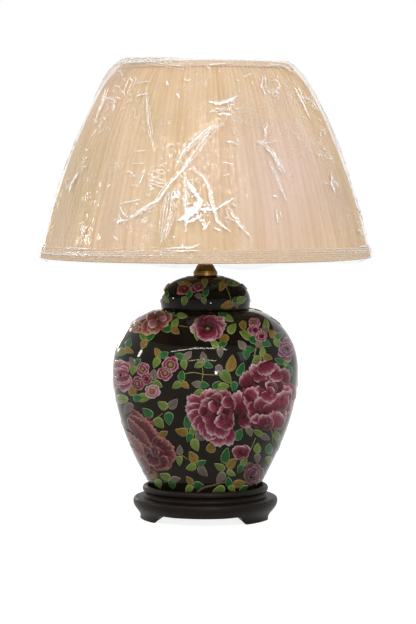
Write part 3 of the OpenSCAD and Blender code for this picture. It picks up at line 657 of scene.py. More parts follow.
def enamel_piece(name, bag, material, body):
    made = piece(name, np.vstack(bag["points"]), bag["faces"], material, body)
    colours = np.vstack(bag["colours"])
    tell_points(made.data, "brushed", np.hstack([colours, np.ones((bag["count"], 1))]))
    chart = np.vstack(bag["map"])[corners_of(made.data)]
    made.data.uv_layers.new(name="along_petal").data.foreach_set("uv", chart.ravel())


def enamel(name, vein_scale, vein_depth, midrib=None):
    """Glossy enamel whose colour was brushed on, with veins that run along the petal or leaf."""
    made, tree, shader = material_of(name, (0.5, 0.3, 0.3), 0.13, Specular_IOR_Level=0.1)
    brushed = term(tree, "ShaderNodeVertexColor", layer_name="brushed")
    chart = term(tree, "ShaderNodeUVMap", uv_map="along_petal")
    streaks = noise(chart, 1, 2, (vein_scale, 1.3, 1))
    cloud = noise(object_points(tree), 130, 3)
    darker = term(tree, "ShaderNodeMix", {0: 1.0, 6: brushed, 7: (0.62, 0.5, 0.52, 1)}, 2,
                  data_type="RGBA", blend_type="MULTIPLY")
    veined = between(streaks.ranged(0.42, 0.68, 0.0, vein_depth), brushed, darker)
    painted = between(cloud.ranged(0.5, 0.75, 0.0, 0.03), veined, (0.93, 0.86, 0.82, 1))
    if midrib:
        # a fine dark line up the middle of the leaf
        from_mid = (term(tree, "ShaderNodeSeparateXYZ", (chart,)) - 0.5).step("ABSOLUTE")
        painted = between(from_mid.ranged(0.02, 0.06, 0.55, 0.0), painted, midrib)
    feed(shader, "Base Color", painted)
    bumped(shader, streaks, 0.0004, 0.35)
    return made


petal_enamel = enamel("petal_enamel", 7, 0.7)
leaf_enamel = enamel("leaf_enamel", 4, 0.3, "243d1c")

jar_skin = skin_of(jar_side)
jar_leaves, jar_petals = empty_enamel(), empty_enamel()
chance = random.Random(11)

stem_paints = {"green": "85824f", "twig": "64503f"}
stem_runs = """green 1.3 184,374 194,372 203,374.5 219,375 / green 1.1 203,374.5 202.5,367 /
green 1.1 203,374.5 201.5,383 / green 1.6 256.1,347.2 254,357 252,366 / green 1.0 253,355.5 259,355.6 /
green 1.2 146,425.6 155,419 163,413.5 / green 1.3 255.5,437.7 251,449 247.4,456 243.5,459.5 /
green 1.3 271.4,429 272.5,442.6 / green 1.2 181.7,455 188.4,459.7 / green 1.1 179,325.6 188.4,327 /
green 1.0 150,338 146,348 / twig 3.4 196,493.5 202.7,487.7 212.9,485.4 225,482"""
for (paint, width), pixels in read_marks(stem_runs):
    stem(jar_leaves, jar_skin, pixels, float(width), stem_paints[paint])

# blossoms and the peonies at the sides: rings, enamel, eye, heart, and reach by quarters
blossom_rings = {"round": ((1, 6), (0.56, 4)), "double": ((1, 8), (0.66, 6), (0.38, 4))}
# the two low blossoms take the darker S and V enamels, as painted shade
blossoms = """round R 7c893c 143,369 6.8 6.8 6.4 6.8 / round R 7c893c 170.6,364.8 9 8.5 9 9 /
round R 7c893c 165.5,373 8 7 8 8 / round C 828a46 138,383.5 7 7 6.5 7 / round C - 147,379 6 6 6 6 /
round P 8a6c30 152.5,391 8 7 8 7.5 / round R 6d6e3a 253.8,322.6 6.6 4.4 6.6 5.4 /
round R - 255,330.6 7 5 7.5 5.5 / round R - 261,336.6 6.4 5.4 6.4 5.6 / round D - 134,325 7 9 6 7 /
double R - 121.5,375 5.5 18 5 22 / double M - 286,349 7 12 8 13 / double S - 146,470 5 13 6 12 /
double V 5a2638 253,474 11 12 11 12"""
for (rings, paint, centre, *reach), (heart,) in read_marks(blossoms):
    bloom(jar_petals, jar_skin, heart, [float(r) for r in reach], blossom_rings[rings], paint, chance, 0.15,
          centre.strip("-"))

shoulder_peony = """D 157,320 137,324 14 / D 157,320 131,331 11 / D 156,321 142,333 12 /
D 157,321 151,334.5 11 / d 158,321 161,330.5 10 / D 159,320 170,323.5 9 / D 159,319 173.5,316.5 8 /
D 158,319 163,311.5 10 / D 157,319 149,313.5 12 / P 157,320.5 149,327.5 7 / P 160,319.5 167,318.6 4.5"""
upper_peony = """P 206,329 190,327.5 11 / C 206,328 196,320.5 12 / K 208,328 203,315.5 13 /
C 208,328 214,316 13 / R 209,328 223.5,318 11 / R 209,329 226.5,325 11 / C 209,330 223,333 12 /
R 208,331 215,339.5 12 / R 207,331 205.5,342 12 / C 206,330 197,336.5 11 / K 208,328 213,321 9 /
c 208,330 210,336 9"""
right_peony = """c 266,428 264,364 36 / k 262,402 280,384 30 / C 262,384 262,361.5 18 /
C 250,388 245,372 15 / R 262,380 251.5,364 12 / C 276,384 286,369 15 / R 268,380 275,363.5 12 /
c 283,400 291,384 17 / R 281,401 288,385 12 / C 279,404 291,400 11 / C 275,404 289.5,411 12 /
C 268,408 285,420 14 / R 258,404 244,397 13 / C 256,408 246,408 11 / C 258,412 249,421 12 /
R 257,428 256,414 12 / C 263,430 267,415 13 / R 276,430 275,410 14 / C 266,426 261,414 11 /
R 262,412 258,397 12 / C 268,414 270,402 11 / C 250,401 252,386 12 / R 257,396 263,385 10 /
R 247,397 256,390 10 / R 278,411 281.5,391 13 / C 284,404 286,390 9 / K 272,392 279,379 11 /
R 263,362.5 267,375.5 15 / R 256,372 262,382 11 / R 276,371 272,382 11 / C 262,400 268,390.5 9 /
R 267,390 268,402.5 13 / K 262,388 264,378 10 / R 274,392 265,381.5 9 / K 264,390 273,384 8 /
R 266,392.5 271.5,387.5 7 / K 267,387 270,384 5"""
bud = """C 241,414 250,427 13 / R 238,414 238.5,389.5 13 / c 240,413 246,398 10 /
R 241,412.5 257.5,408.5 12 / K 243,417 252,418 8"""
centre_peony = """c 212,440 212,394 30 / c 196,412 230,412 34 / C 222,404 228,391 15 /
R 211,404 207.5,388 16 / C 224,409 233.5,399 12 / R 203,409 187.5,397 13 / R 204,413 186,405.5 12 /
R 204,418 188,414.5 13 / R 206,422 192,424 13 / C 225,417 234,418 13 / R 208,424 200,433.5 13 /
R 224,428 230,444 14 / R 212,426 208,440 13 / R 217,428 217.5,446 15 / R 216,409 201,402.5 15 /
C 214,401 207,391.5 10 / R 216,415 200.5,415 13 / R 217,419 209,433.5 15 / R 221,421 223,438 13 /
C 223,419 232,428 11 / C 214,405 221,394 12 / R 232,399.5 221.5,404 10 / R 232.5,409 217.5,412.5 12 /
R 219,406 208,405 10 / K 212,404 216,398 8 / C 207,412 199,408 9 / K 222,412 231,411 7 /
R 229,419.5 214.5,421.5 12 / K 217,416.5 224,416 6"""
# the left peony, low on the jar, is drawn in the darker S enamel as painted shade
left_peony = """s 140,462 148,420 20 / s 160,470 163,446 16 / S 139,431 147,421 30 /
S 140.5,431.5 150.5,424 40 / S 137,432 141,428 22 / S 136,440 145.5,433 38 / S 134,444 139,439 30 /
S 131.5,447 140,441.5 30 / S 133,456 139,452 20 / S 137,462 146,456 20 / S 143,466 150,462 16 /
S 155,447 163,437.5 11 / S 157,449 170,441 13 / S 161,452 175,446.5 11 / S 163,456 177,457.5 12 /
S 162,459 172,466.5 12 / S 160,460 163.5,470 13 / S 155,456 155,466 12 / S 152,452 161,450 9 /
K 158,457 163,448 9 / S 160,462 170,458 9"""
low_flower = """C 241,454 234,456.5 9 / C 240,453 242,458.8 9 / R 239,452 233.5,447.5 9 /
C 242,453 248.5,454 9 / R 241,452 241,445.6 9 / R 243,451 248.5,446.5 8 / K 239,452 244,451 5"""
# each drawing with the height in mm that it starts from, so that the overlapping ones don't meet
for drawn, lift in ((shoulder_peony, 0.1), (upper_peony, 0.1), (bud, 0.1), (right_peony, 0.5),
                    (left_peony, 0.1), (centre_peony, 0.9), (low_flower, 0.1)):
    drawn_petals(jar_petals, jar_skin, drawn, chance, lift)
# the eyes in the middle of three of them: heart, radius and lift in mm, colour
peony_eyes = (((158.2, 319.9), 2.2, 1.1, "757c3c"), ((207.7, 329.3), 2.6, 1.3, "6f8644"),
              ((164.5, 459.5), 2.0, 1.5, "6c5126"))
for heart, radius, lift, code in peony_eyes:
    eye_dot(jar_petals, jar_skin, spot_at(jar_skin, *heart), radius, code, lift)

jar_sprigs = """L175,323 E167,328.5 O175.5,330 / E172,313.6 L182,315.4 /
L143.5,336.5 E150.3,337 O144,344.5 / E128.5,343 O129,350 L121.5,352 / E197.2,323.3 L197.2,335.1 /
L231.8,328.8 O224.2,339.5 / L215.2,344 E222.3,345.5 M219.8,352.3 / E223,315.3 L228.5,318.5 /
O243.3,325.3 / L245.6,335.2 E253,339.6 E264.4,343.4 M258.7,344.5 / O272.7,333.8 E278.1,335.7 L277,342.1 /
L265,324 M265.2,328.8 / M241.8,345 E249.4,349.6 E246,354.3 / L262,351.7 O267,357.5 L256.8,359.9 /
M219.2,369 / E234,386 / M203,357 L199,364.7 E208,364.7 / E179.7,356.3 M187.6,355.1 L184.5,364.2 /
O157.6,352.7 E163.9,354.5 L156.7,362.4 / M132.7,361.8 E137,362.4 L133.3,369.7 /
E279.6,361 L286,361 E288.5,370 / L158,384 E150,385 M154.2,375 /
O132.5,390 E138,398 L144,398 L122.6,399.7 M128,408 / E182,376 L177,385 O185,385 / M197,384 E204,385 /
E216.5,385 L222.5,387 L199,394 / O215,394 / L163,405.5 M173,404 E169,418 / E148,413 L158.5,423 /
M144.8,453.3 / E188,423 L193,430 O182.2,431.5 E190,437.3 L195.5,444.5 M201.1,436.6 /
M179.7,450.6 L179.7,460.4 / O193,457.6 L191.4,466.7 E201.1,462.7 M202.7,470.8 /
O231.5,463.8 L220,467 L230.8,473 M220.8,477.3 / E240.2,468.6 L243.8,462 / M249.2,431.7 /
L258,432.9 M264.7,436.8 / L257.7,448.6 M257.4,458.3 / E269.2,449.2 L268.5,461 / L276.8,435.9 E279.5,446 /
O153.7,475 L158.3,483.6 / L165.4,477 M175.2,479.5 E172,484 / O189.4,481 L189,489 E198,485 /
L219.1,489.8 E228.8,482 O238.9,484 L231.5,488.6 / E247,489.5 / E124,430 L118,424"""
sprigs(jar_leaves, jar_skin, jar_sprigs, 5)

# the larger leaves, as the petals are drawn: base, tip and width
large_leaves = """O 229,371.5 232.5,354.5 12.5 / E 237.5,376 243.5,362 9.5 / L 221,370.5 231,384 12 /
E 234.5,440 242,428.5 11 / E 224,463.5 227.5,447 10.5 / O 211,453 212,441.5 11.5"""
for (paint, width), (base, tip) in read_marks(large_leaves):
    leaf(jar_leaves, jar_skin, *laid_out(jar_skin, base, base, tip, float(width) * 0.85), paint, chance, 0.2)

# two leaves that lie over the left peony
over_peony = "O163.4,434.8 L156.2,440.2"
sprigs(jar_leaves, jar_skin, over_peony, 2)
enamel_piece("jar_petals", jar_petals, petal_enamel, "base")
enamel_piece("jar_leaves", jar_leaves, leaf_enamel, "base")

# Porcelain lid: a domed cap with a waisted rim that fits over the neck, glazed black and painted
# with the same enamels. The rod passes through it and the brass cap clamps it down.

lid_r, lid_wall, lid_top_z, lid_top_r = 62.3, 4.5, 335.4, 14
lid_side = np.vstack([[(lid_r - 1.7, ledge_z), (lid_r - 1.3, ledge_z + 1.5), (lid_r - 0.8, ledge_z + 4.5)],
                      cubic((lid_r, 300), (lid_r, 327), (29.9, lid_top_z), (lid_top_r, lid_top_z), steps=56)])
lid_inside = [(r - lid_wall, z - 0.6) for r, z in lid_side[1:40]] + [(lid_top_r + 10, lid_top_z - 4.8)]
lid = turned("lid_body", [*lid_side, (rod_hole, lid_top_z), (rod_hole, lid_top_z - lid_wall),
                          *lid_inside[::-1], (56.2, ledge_z)], glaze, "base", 200)
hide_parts("lid")

lid_skin = skin_of(lid_side)
lid_leaves, lid_petals = empty_enamel(), empty_enamel()
lid_stem = [(227, 284), (225.9, 288), (229.6, 295), (230.9, 306.5)]
stem(lid_leaves, lid_skin, lid_stem, 1.3, stem_paints["green"])
lid_blossoms = """B 184,289 177.8,288 6 / C 184,289 179,293.6 6 / B 184,289 177.6,294.5 4.5 /
C 184.5,290 184.5,295 6 / C 185,289 189.5,286.4 6 / B 184,288 184.6,285 6 / C 198,287.5 190.5,290 6 /
B 198,286.5 193,286.2 5 / B 199,286 199,282.8 6 / C 200,287 204.5,287.3 6 / C 199.5,287.5 200.3,291.4 6 /
C 198.5,288 195.5,290.4 5.5 / B 164,287 164.8,291 2.5 / B 164,286.5 166,284 2.5"""
drawn_petals(lid_petals, lid_skin, lid_blossoms, chance, 0.1, 0.05)
lid_hearts = ((185.2, 288.6), (198.8, 286.8))
for heart in lid_hearts:
    eye_dot(lid_petals, lid_skin, spot_at(lid_skin, *heart), 2.0, "74743a", 0.6)
lid_sprigs = """L181.5,282.8 O188.5,283.5 / L204.7,282.6 / L214.5,279.6 / L184.3,300.8 /
M198.4,296 E205.7,293 L204.1,300.5 / O221.5,286.3 / E229.9,283.4 L235,284.3 /
O227,305.4 E234.7,300.3 L240.5,300.3 M236,305.8 / L166.8,300.5 E166,294 M163,300 / E188.8,294"""
sprigs(lid_leaves, lid_skin, lid_sprigs, 8, 3.9)
enamel_piece("lid_petals", lid_petals, petal_enamel, "base")
enamel_piece("lid_leaves", lid_leaves, leaf_enamel, "base")

# Lampholder and harp fittings: pressed and turned brass, lacquered, with a card liner, a moulded
# switch block and a drawn screw shell inside, and a moulded black key at the front.

brass = finish("lacquered_brass", "c9a55a", 0.24, (320, 4, (1, 1, 0.1)), (0.0001, 0.15),
               tones=(0.3, 0.7, "b8924a", "d8b56c"), gloss=(0.18, 0.32), metallic=1.0)
dress(brass, "harp_saddle", "socket_cup", "socket_shell", "centre_contact", "harp_stud", "sleeve_left",
      "sleeve_right", "finial", "key_stem")
card = finish("liner_card", "8a6a43", 0.85, (900, 4, (1, 1, 0.3)), (0.0001, 0.4),
              tones=(0, 1, "76592f", "a3835a"))
dress(card, "paper_liner")
phenolic = finish("moulded_phenolic", "221a16", 0.3, (240, 4), (0.0001, 0.2),
                  tones=(0, 1, "191210", "33251d"))
dress(phenolic, "switch_body", "key_knob", "bulb_contact")
nickel = finish("drawn_shell", "cfccc4", 0.26, (500, 2, (0.1, 0.1, 1)), (0.0001, 0.15), gloss=(0.2, 0.36),
                metallic=1.0)
dress(nickel, "screw_shell", "bulb_base")

# Harp: one length of brass-plated wire bent to a loop over the bulb. Its legs stand in the
# saddle's two posts and are locked there by sliding brass sleeves.

leg_x, belly_x, leg_low_z, leg_top_z, bow_z, flat_half = 37.5, 57.0, 353.9, 386.9, 588.5, 10
loop_rise = bow_z - leg_top_z
half_loop = np.vstack([
    [(leg_x, leg_low_z), (leg_x, 362), (leg_x, 371), (leg_x, 380)],
    cubic((leg_x, leg_top_z), (leg_x, leg_top_z + 0.13 * loop_rise), (belly_x, leg_top_z + 0.2 * loop_rise),
          (belly_x, leg_top_z + 0.42 * loop_rise), steps=16),
    cubic((belly_x, leg_top_z + 0.42 * loop_rise), (belly_x, leg_top_z + 0.68 * loop_rise),
          (0.8 * belly_x, bow_z), (flat_half, bow_z), steps=28)[1:], [(3, bow_z)]])
loop_line = [(x, 0, z) for x, z in half_loop] + [(-x, 0, z) for x, z in half_loop[::-1]]


def new_tree(name, inputs):
    """A Geometry Nodes tree with named inputs; gives the tree and what its inputs hold."""
    tree = bpy.data.node_groups.new(name, "GeometryNodeTree")
    tree.interface.new_socket("Geometry", in_out="INPUT", socket_type="NodeSocketGeometry")
    for label, kind in inputs:
        tree.interface.new_socket(label, in_out="INPUT", socket_type="NodeSocket" + kind)
    tree.interface.new_socket("Geometry", in_out="OUTPUT", socket_type="NodeSocketGeometry")
    return tree, {socket.name: Term(tree, socket) for socket in add(tree, "NodeGroupInput").outputs}


def close_tree(tree, geometry, material):
    smooth = term(tree, "GeometryNodeSetShadeSmooth", {"Geometry": geometry})
    real = term(tree, "GeometryNodeRealizeInstances", {"Geometry": smooth})
    dressed = term(tree, "GeometryNodeSetMaterial", {"Geometry": real, "Material": material})
    add(tree, "NodeGroupOutput", {"Geometry": dressed})


def grown(name, tree, values, body, points=(), edges=()):
    """Runs a tree on a piece and keeps the result as a plain mesh."""
    seed_mesh = bpy.data.meshes.new(name + "_seed")
    seed_mesh.from_pydata([tuple(c / 1000 for c in p) for p in points], list(edges), [])
    seed = placed(name + "_seed", seed_mesh)
    rule = seed.modifiers.new("rule", "NODES")
    rule.node_group = tree
    for socket in tree.interface.items_tree:
        if socket.in_out == "INPUT" and socket.name in values:
            rule[socket.identifier] = values[socket.name]
    graph = bpy.context.evaluated_depsgraph_get()
    graph.update()
    mesh = bpy.data.meshes.new_from_object(seed.evaluated_get(graph), preserve_all_data_layers=True,
                                           depsgraph=graph)
    mesh.name = name
    bpy.data.objects.remove(seed)
    made = placed(name, mesh)
    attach(made, body)
    return made


bending, given = new_tree("bent_wire", (("Wire diameter", "Float"), ("Sides", "Int"), ("Finish", "Material")))
line = term(bending, "GeometryNodeMeshToCurve", {"Mesh": given["Geometry"]})
ring = term(bending, "GeometryNodeCurvePrimitiveCircle",
            {"Resolution": given["Sides"], "Radius": given["Wire diameter"] * 0.5})
wire = term(bending, "GeometryNodeCurveToMesh", {"Curve": line, "Profile Curve": ring, "Fill Caps": True})
close_tree(bending, wire, given["Finish"])
harp = grown("harp_wire", bending, {"Wire diameter": 0.004, "Sides": 20, "Finish": brass}, "harp",
             loop_line, [(i, i + 1) for i in range(len(loop_line) - 1)])
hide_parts("harp_bow")

# Bulb: a blown glass envelope, frosted inside and cemented into a drawn screw base, with a
# centre contact set in its foot.

frosted = finish("frosted_glass", "f4f1ea", 0.45, (800, 2), (0.0001, 0.3), Alpha=0.62)
dress(frosted, "bulb_glass")

# Shade frame: two wire rings, eight bowed ribs and a three-armed spider with a flat hub, spot
# welded and dipped white so that no rust marks the lining.

dipped = finish("dipped_wire", "d9d6cd", 0.42, (160, 3), (0.0002, 0.25), tones=(0, 1, "cbc7bc", "e2dfd7"))
dress(dipped, "top_ring", "bottom_ring", "frame_ribs", "spider_hub", "spider_arms")

# Lining: eight panels of plain off-white cloth, stretched inside the ribs and sewn at them. They
# hide the frame and spread the light.

top_ring_r, bottom_ring_r, top_z, bottom_z = 110.5, 219.4, 619.8, 363.0
shoulder_rad, top_slope, side_slope = 127, math.radians(50), math.radians(27.5)
shoulder_end = np.array([top_ring_r + shoulder_rad * (math.cos(side_slope) - math.cos(top_slope)),
                         top_z + shoulder_rad * (math.sin(side_slope) - math.sin(top_slope))])
run = shoulder_end - np.array([bottom_ring_r, bottom_z])
half_turn = side_slope - math.atan(-run[0] / run[1])
long_rad = math.hypot(*run) / 2 / math.sin(half_turn)
low_slope = side_slope - 2 * half_turn
shoulder_len = shoulder_rad * (top_slope - side_slope)
side_len = shoulder_len + long_rad * 2 * half_turn


def side_at(down, out):
    """Radius and height on the shade's side: down from the top ring, out from the wires."""
    past = np.asarray(down, float) - shoulder_len
    rad = np.where(past < 0, shoulder_rad, long_rad)
    a = side_slope - past / rad
    reach = rad + np.asarray(out, float)
    return (shoulder_end[0] - rad * math.cos(side_slope) + reach * np.cos(a),
            shoulder_end[1] - rad * math.sin(side_slope) + reach * np.sin(a))


def cloth_map(made, columns_round, points_per_column, girth, downs):
    """Maps a round piece's cloth in metres: round it by its mean girth, and down it."""
    corners = corners_of(made.data)
    column, row = corners // points_per_column, corners % points_per_column
    # the last column's faces run on to the full turn and not back to the start
    first = column.reshape(-1, 4)
    wraps = (first.max(axis=1) - first.min(axis=1) > 1)[:, None] & (first == 0)
    turn = np.where(wraps, columns_round, first).ravel() / columns_round
    uv = np.stack([turn * girth, downs[row] / 1000], axis=1)
    made.data.uv_layers.new(name="cloth").data.foreach_set("uv", uv.ravel())


def thickened(made, thickness):
    """Gives a sheet its thickness in metres, inwards."""
    rule = made.modifiers.new("cloth_thickness", "SOLIDIFY")
    rule.thickness, rule.offset = thickness, -1


lining_cloth, tree, shader = material_of("lining_cloth", tint("e9dfcc"), 0.9, Sheen_Weight=0.15)
chart = term(tree, "ShaderNodeUVMap", uv_map="cloth")
thread_wave = 9000  # radians of the weave's wave to a metre
warp, weft = ((term(tree, "ShaderNodeSeparateXYZ", (chart,), k) * thread_wave).step("SINE") for k in (0, 1))
bumped(shader, warp * weft, 0.0001, 0.5)
cloud = noise(object_points(tree), 9, 3)
feed(shader, "Base Color", between(cloud, "e2d6c0", "f0e8d8"))

lining_turns, lining_rows, lining_hem, lining_in, lining_slack = 192, 25, 3, 2.0, 0.9
rib_pairs, mean_lining_r = 4, 0.172  # m
downs = np.linspace(lining_hem, side_len - lining_hem, lining_rows)[::-1]
hang = np.sin(np.pi * (downs - lining_hem) / (side_len - 2 * lining_hem))
grid = []
for i in range(lining_turns):
    turn = i * 2 * math.pi / lining_turns
    # taut between ribs, so it stands a little further in there
    slack = lining_slack * math.sin(rib_pairs * turn + math.pi / 2) ** 2 * hang
    grid.append(around(*side_at(downs, -lining_in - slack), turn))
grid = np.array(grid)
lining = piece("shade_lining_cloth", grid, loops(grid, closed_columns=False), lining_cloth, "shade")
cloth_map(lining, lining_turns, lining_rows, 2 * math.pi * mean_lining_r, downs)
thickened(lining, 0.0006)
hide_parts("shade_lining")

# Pleated cover: silk-like cloth gathered by hand into about a hundred and thirty narrow folds,
# sewn to the top ring and drawn down to the bottom ring, where the folds stand wider apart.

folding, given = new_tree("gathered_folds", (
    ("Folds", "Int"), ("Fold depth", "Float"), ("Rows", "Int"), ("Columns", "Int"), ("Wander", "Float"),
    ("Seed", "Float"), ("Out", "Float"), ("Finish", "Material")))


def unrolled(tree, columns, rows):
    """A grid a metre square with its map, and each point's turn and share of the height."""
    net = add(tree, "GeometryNodeMeshGrid", {"Size X": 1.0, "Size Y": 1.0, "Vertices X": columns,
                                             "Vertices Y": rows}).outputs
    where = term(tree, "GeometryNodeInputPosition")
    x, y = (term(tree, "ShaderNodeSeparateXYZ", (where,), k) for k in (0, 1))
    return Term(tree, net[0]), Term(tree, net[1]), x * (2 * math.pi), y


def rolled(tree, grid, turn, far, high, material):
    """Rolls the grid up round the axis, sews its ends together and closes the tree."""
    spread = term(tree, "ShaderNodeCombineXYZ",
                  (far * turn.step("SINE"), far * turn.step("COSINE") * -1.0, high))
    bent = term(tree, "GeometryNodeSetPosition", {"Geometry": grid, "Position": spread})
    sewn = term(tree, "GeometryNodeMergeByDistance", {"Geometry": bent, "Distance": 0.00002})
    close_tree(tree, sewn, material)


net, chart, turn, share = unrolled(folding, given["Columns"], given["Rows"])
down = share * (-(side_len + 3) / 1000) + (side_len + 1) / 2000
circle = term(folding, "ShaderNodeCombineXYZ", (turn.step("COSINE"), turn.step("SINE"), down * 0.9))


def wander(scale, detail):
    """Noise that goes round the shade without a seam, from about -0.5 to 0.5."""
    return term(folding, "ShaderNodeTexNoise", {"Vector": circle, "W": given["Seed"], "Scale": scale,
                                                "Detail": detail}, noise_dimensions="4D") - 0.5


drift = wander(1.6, 1) * (given["Wander"] * 9.0)
jostle = wander(13, 1) * (given["Wander"] * 7.0)
phase = turn * given["Folds"] + drift + jostle
swell = phase.step("COSINE") * 0.5 + 0.5
uneven = wander(22, 0) * 1.3 + 0.85
crimp = wander(70, 1) * 0.0011
out = swell.step("POWER", 0.65) * uneven * given["Fold depth"] + crimp + given["Out"]
past = down - shoulder_len / 1000
rad = past.step("LESS_THAN", 0.0) * ((shoulder_rad - long_rad) / 1000) + long_rad / 1000
lean = side_slope - past / rad
reach = out + rad
far = lean.step("COSINE") * reach + (rad * -math.cos(side_slope) + float(shoulder_end[0]) / 1000)
high = lean.step("SINE") * reach + (rad * -math.sin(side_slope) + float(shoulder_end[1]) / 1000)
own_tone = term(folding, "ShaderNodeTexWhiteNoise", {"W": (phase / (2 * math.pi)).step("FLOOR")}, "Value",
                noise_dimensions="1D")
mapped = net
for label, value, kind, domain in (("cloth", chart, "FLOAT2", "CORNER"), ("crest", swell, "FLOAT", "POINT"),
                                   ("own_tone", own_tone, "FLOAT", "POINT")):
    mapped = term(folding, "GeometryNodeStoreNamedAttribute",
                  {"Geometry": mapped, "Name": label, "Value": value}, data_type=kind, domain=domain)
rolled(folding, mapped, turn, far, high, given["Finish"])

pleat_cloth, tree, shader = material_of("pleat_cloth", tint("e3caa6"), 0.62, Sheen_Weight=0.2,
                                        Sheen_Roughness=0.4)
chart = term(tree, "ShaderNodeUVMap", uv_map="cloth")
crest, own_tone = (term(tree, "ShaderNodeAttribute", (), "Fac", attribute_name=label)
                   for label in ("crest", "own_tone"))
streaks = noise(chart, 1, 3, (160, 2.4, 1))
groups = noise(chart, 1, 2, (42, 0.9, 1))
broad = noise(object_points(tree), 11, 2, (1, 1, 0.6))
# fold crests painted lighter and the hollows between them darker: painted shade, mixed with the cloth's own
# streaks
crest_light_and_streaks = crest * 0.16 + streaks * 0.88
cream = between(crest_light_and_streaks.ranged(0.2, 0.72), "d2b084", "f0d4ae")
toned = between(own_tone.ranged(0.3, 1, 0.0, 0.5), cream, "d2ad7c")
grouped = between(groups.ranged(0.42, 0.66, 0.0, 0.6), toned, "efd8bd")
blush = between(broad.ranged(0.5, 0.68, 0, 0.35), grouped, "e6c9bb")
cloth_tone_and_painted_light = between(broad.ranged(0.46, 0.32, 0, 0.4), blush, "cbb283")
# painted light at three spots on the front: a rosy painted reflection to the right, a greyer painted shade to
# the left and a browner painted shade at the right edge
for spot, size, strength, code in (((0.11, -0.16, 0.48), 0.135, 0.66, "ead0d0"),
                                   ((-0.17, -0.08, 0.45), 0.13, 0.45, "b9ae8a"),
                                   ((0.19, -0.09, 0.45), 0.085, 0.6, "c4ab8e")):
    off = term(tree, "ShaderNodeVectorMath", (object_points(tree), spot), "Value", operation="DISTANCE")
    cloth_tone_and_painted_light = between(off.ranged(size, 0.0, 0.0, strength), cloth_tone_and_painted_light, code)
feed(shader, "Base Color", cloth_tone_and_painted_light)
bumped(shader, noise(chart, 1, 2, (900, 30, 1)), 0.0002, 0.35)

cover = grown("pleated_cloth", folding, {
    "Folds": 132, "Fold depth": 0.0013, "Rows": 30, "Columns": 1321, "Wander": 1.0, "Seed": 4.0,
    "Out": 0.0044, "Finish": pleat_cloth}, "shade")
thickened(cover, 0.0005)
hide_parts("pleated_cover")

# Top binding: a bias strip of the same cloth folded over the top ring and glued down, slightly
# puckered where it goes round the curve.

trim_cloth = finish("trim_cloth", "e6cdb0", 0.8, (420, 3), (0.0003, 0.5),
                    tones=(0.3, 0.7, "d8bc9c", "eedbc4"), Sheen_Weight=0.2)

arch_mid, arch_up, arch_rad, strip_t, binding_turns = 1.2, 0.5, 4.2, 1, 540
outer_rad = arch_rad + strip_t
ring_point = np.array([top_ring_r, top_z])
outward = np.array([math.cos(top_slope), math.sin(top_slope)])
upward = np.array([-math.sin(top_slope), math.cos(top_slope)])


def by_top(out, up):
    """Radius and height beside the top ring, out of the side and up past it or down along it."""
    out, up = np.asarray(out, float), np.asarray(up, float)
    above = ring_point + np.outer(out, outward) + np.outer(up, upward)
    r, z = side_at(-up, out)
    return np.where(up > 0, above[:, 0], r), np.where(up > 0, above[:, 1], z)


bend = np.radians(np.arange(180, -1, -15))
# the strip's two faces, inside the shade, over the ring and down outside, as out and up in mm
outer_out = np.concatenate([[arch_mid - outer_rad] * 2, arch_mid + outer_rad * np.cos(bend),
                            [arch_mid + outer_rad] * 3])
outer_up = np.concatenate([[-5.4, -2.5], arch_up + outer_rad * np.sin(bend), [-3, -6, -8.9]])
inner_out = np.concatenate([[arch_mid + arch_rad] * 3, arch_mid + arch_rad * np.cos(bend[::-1]),
                            [arch_mid - arch_rad] * 2])
inner_up = np.concatenate([[-8.9, -6, -3], arch_up + arch_rad * np.sin(bend[::-1]), [-2.5, -5.4]])
outs, ups = np.concatenate([outer_out, inner_out]), np.concatenate([outer_up, inner_up])
loose = np.concatenate([np.linspace(0.2, 1, len(outer_out)), np.linspace(1, 0.2, len(inner_out))])
grid = []
for i in range(binding_turns):
    turn = i * 2 * math.pi / binding_turns
    pucker = 0.22 * math.sin(turn * 90) + 0.16 * math.sin(turn * 37 + 1) + 0.12 * math.sin(turn * 17)
    r, z = by_top(outs + (loose * pucker + 0.25) * 0.6, ups + 0.3 * math.sin(turn * 7) * (ups < -7))
    grid.append(around(r, z, turn))
grid = np.array(grid)
binding = piece("top_binding_strip", grid, [f[::-1] for f in loops(grid)], trim_cloth, "shade")
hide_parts("top_binding")

# Bottom braid: a woven trimming of six ribbed rows, glued round the bottom edge of the cover and
# turned in under it.

braiding, given = new_tree("ribbed_braid", (
    ("Rows", "Int"), ("Stitches", "Int"), ("Row depth", "Float"), ("Height", "Float"), ("Columns", "Int"),
    ("Threads", "Int"), ("Finish", "Material")))
braid_out, braid_t, braid_below, seam_rows = 0.0055, 0.0012, 0.003, 3  # m, and rows that close it
net, chart, turn, share = unrolled(braiding, given["Columns"], given["Threads"])
last = given["Threads"] - 1.0
index = (share + 0.5) * last
share = ((index - 1.0) / (last - seam_rows)).step("MAXIMUM", 0.0).step("MINIMUM", 1.0)
in_front = index.step("GREATER_THAN", 0.5) * index.step("LESS_THAN", last - 1.5)
not_last = index.step("LESS_THAN", last - 0.5)
row_swell = (share * given["Rows"] * math.pi).step("SINE").step("ABSOLUTE").step("POWER", 0.6)
row_number = (share * 0.999 * given["Rows"]).step("FLOOR")
stitch = (turn * given["Stitches"] + row_number * math.pi).step("COSINE") * 0.26 + 0.74
out = (row_swell * stitch * given["Row depth"] + braid_t) * in_front + braid_out
lift_up = share * not_last * given["Height"] - braid_below
lean_cos, lean_sin = math.cos(low_slope), math.sin(low_slope)
far = out * lean_cos + (lift_up * -lean_sin + bottom_ring_r / 1000)
high = out * lean_sin + (lift_up * lean_cos + bottom_z / 1000)
rolled(braiding, net, turn, far, high, given["Finish"])
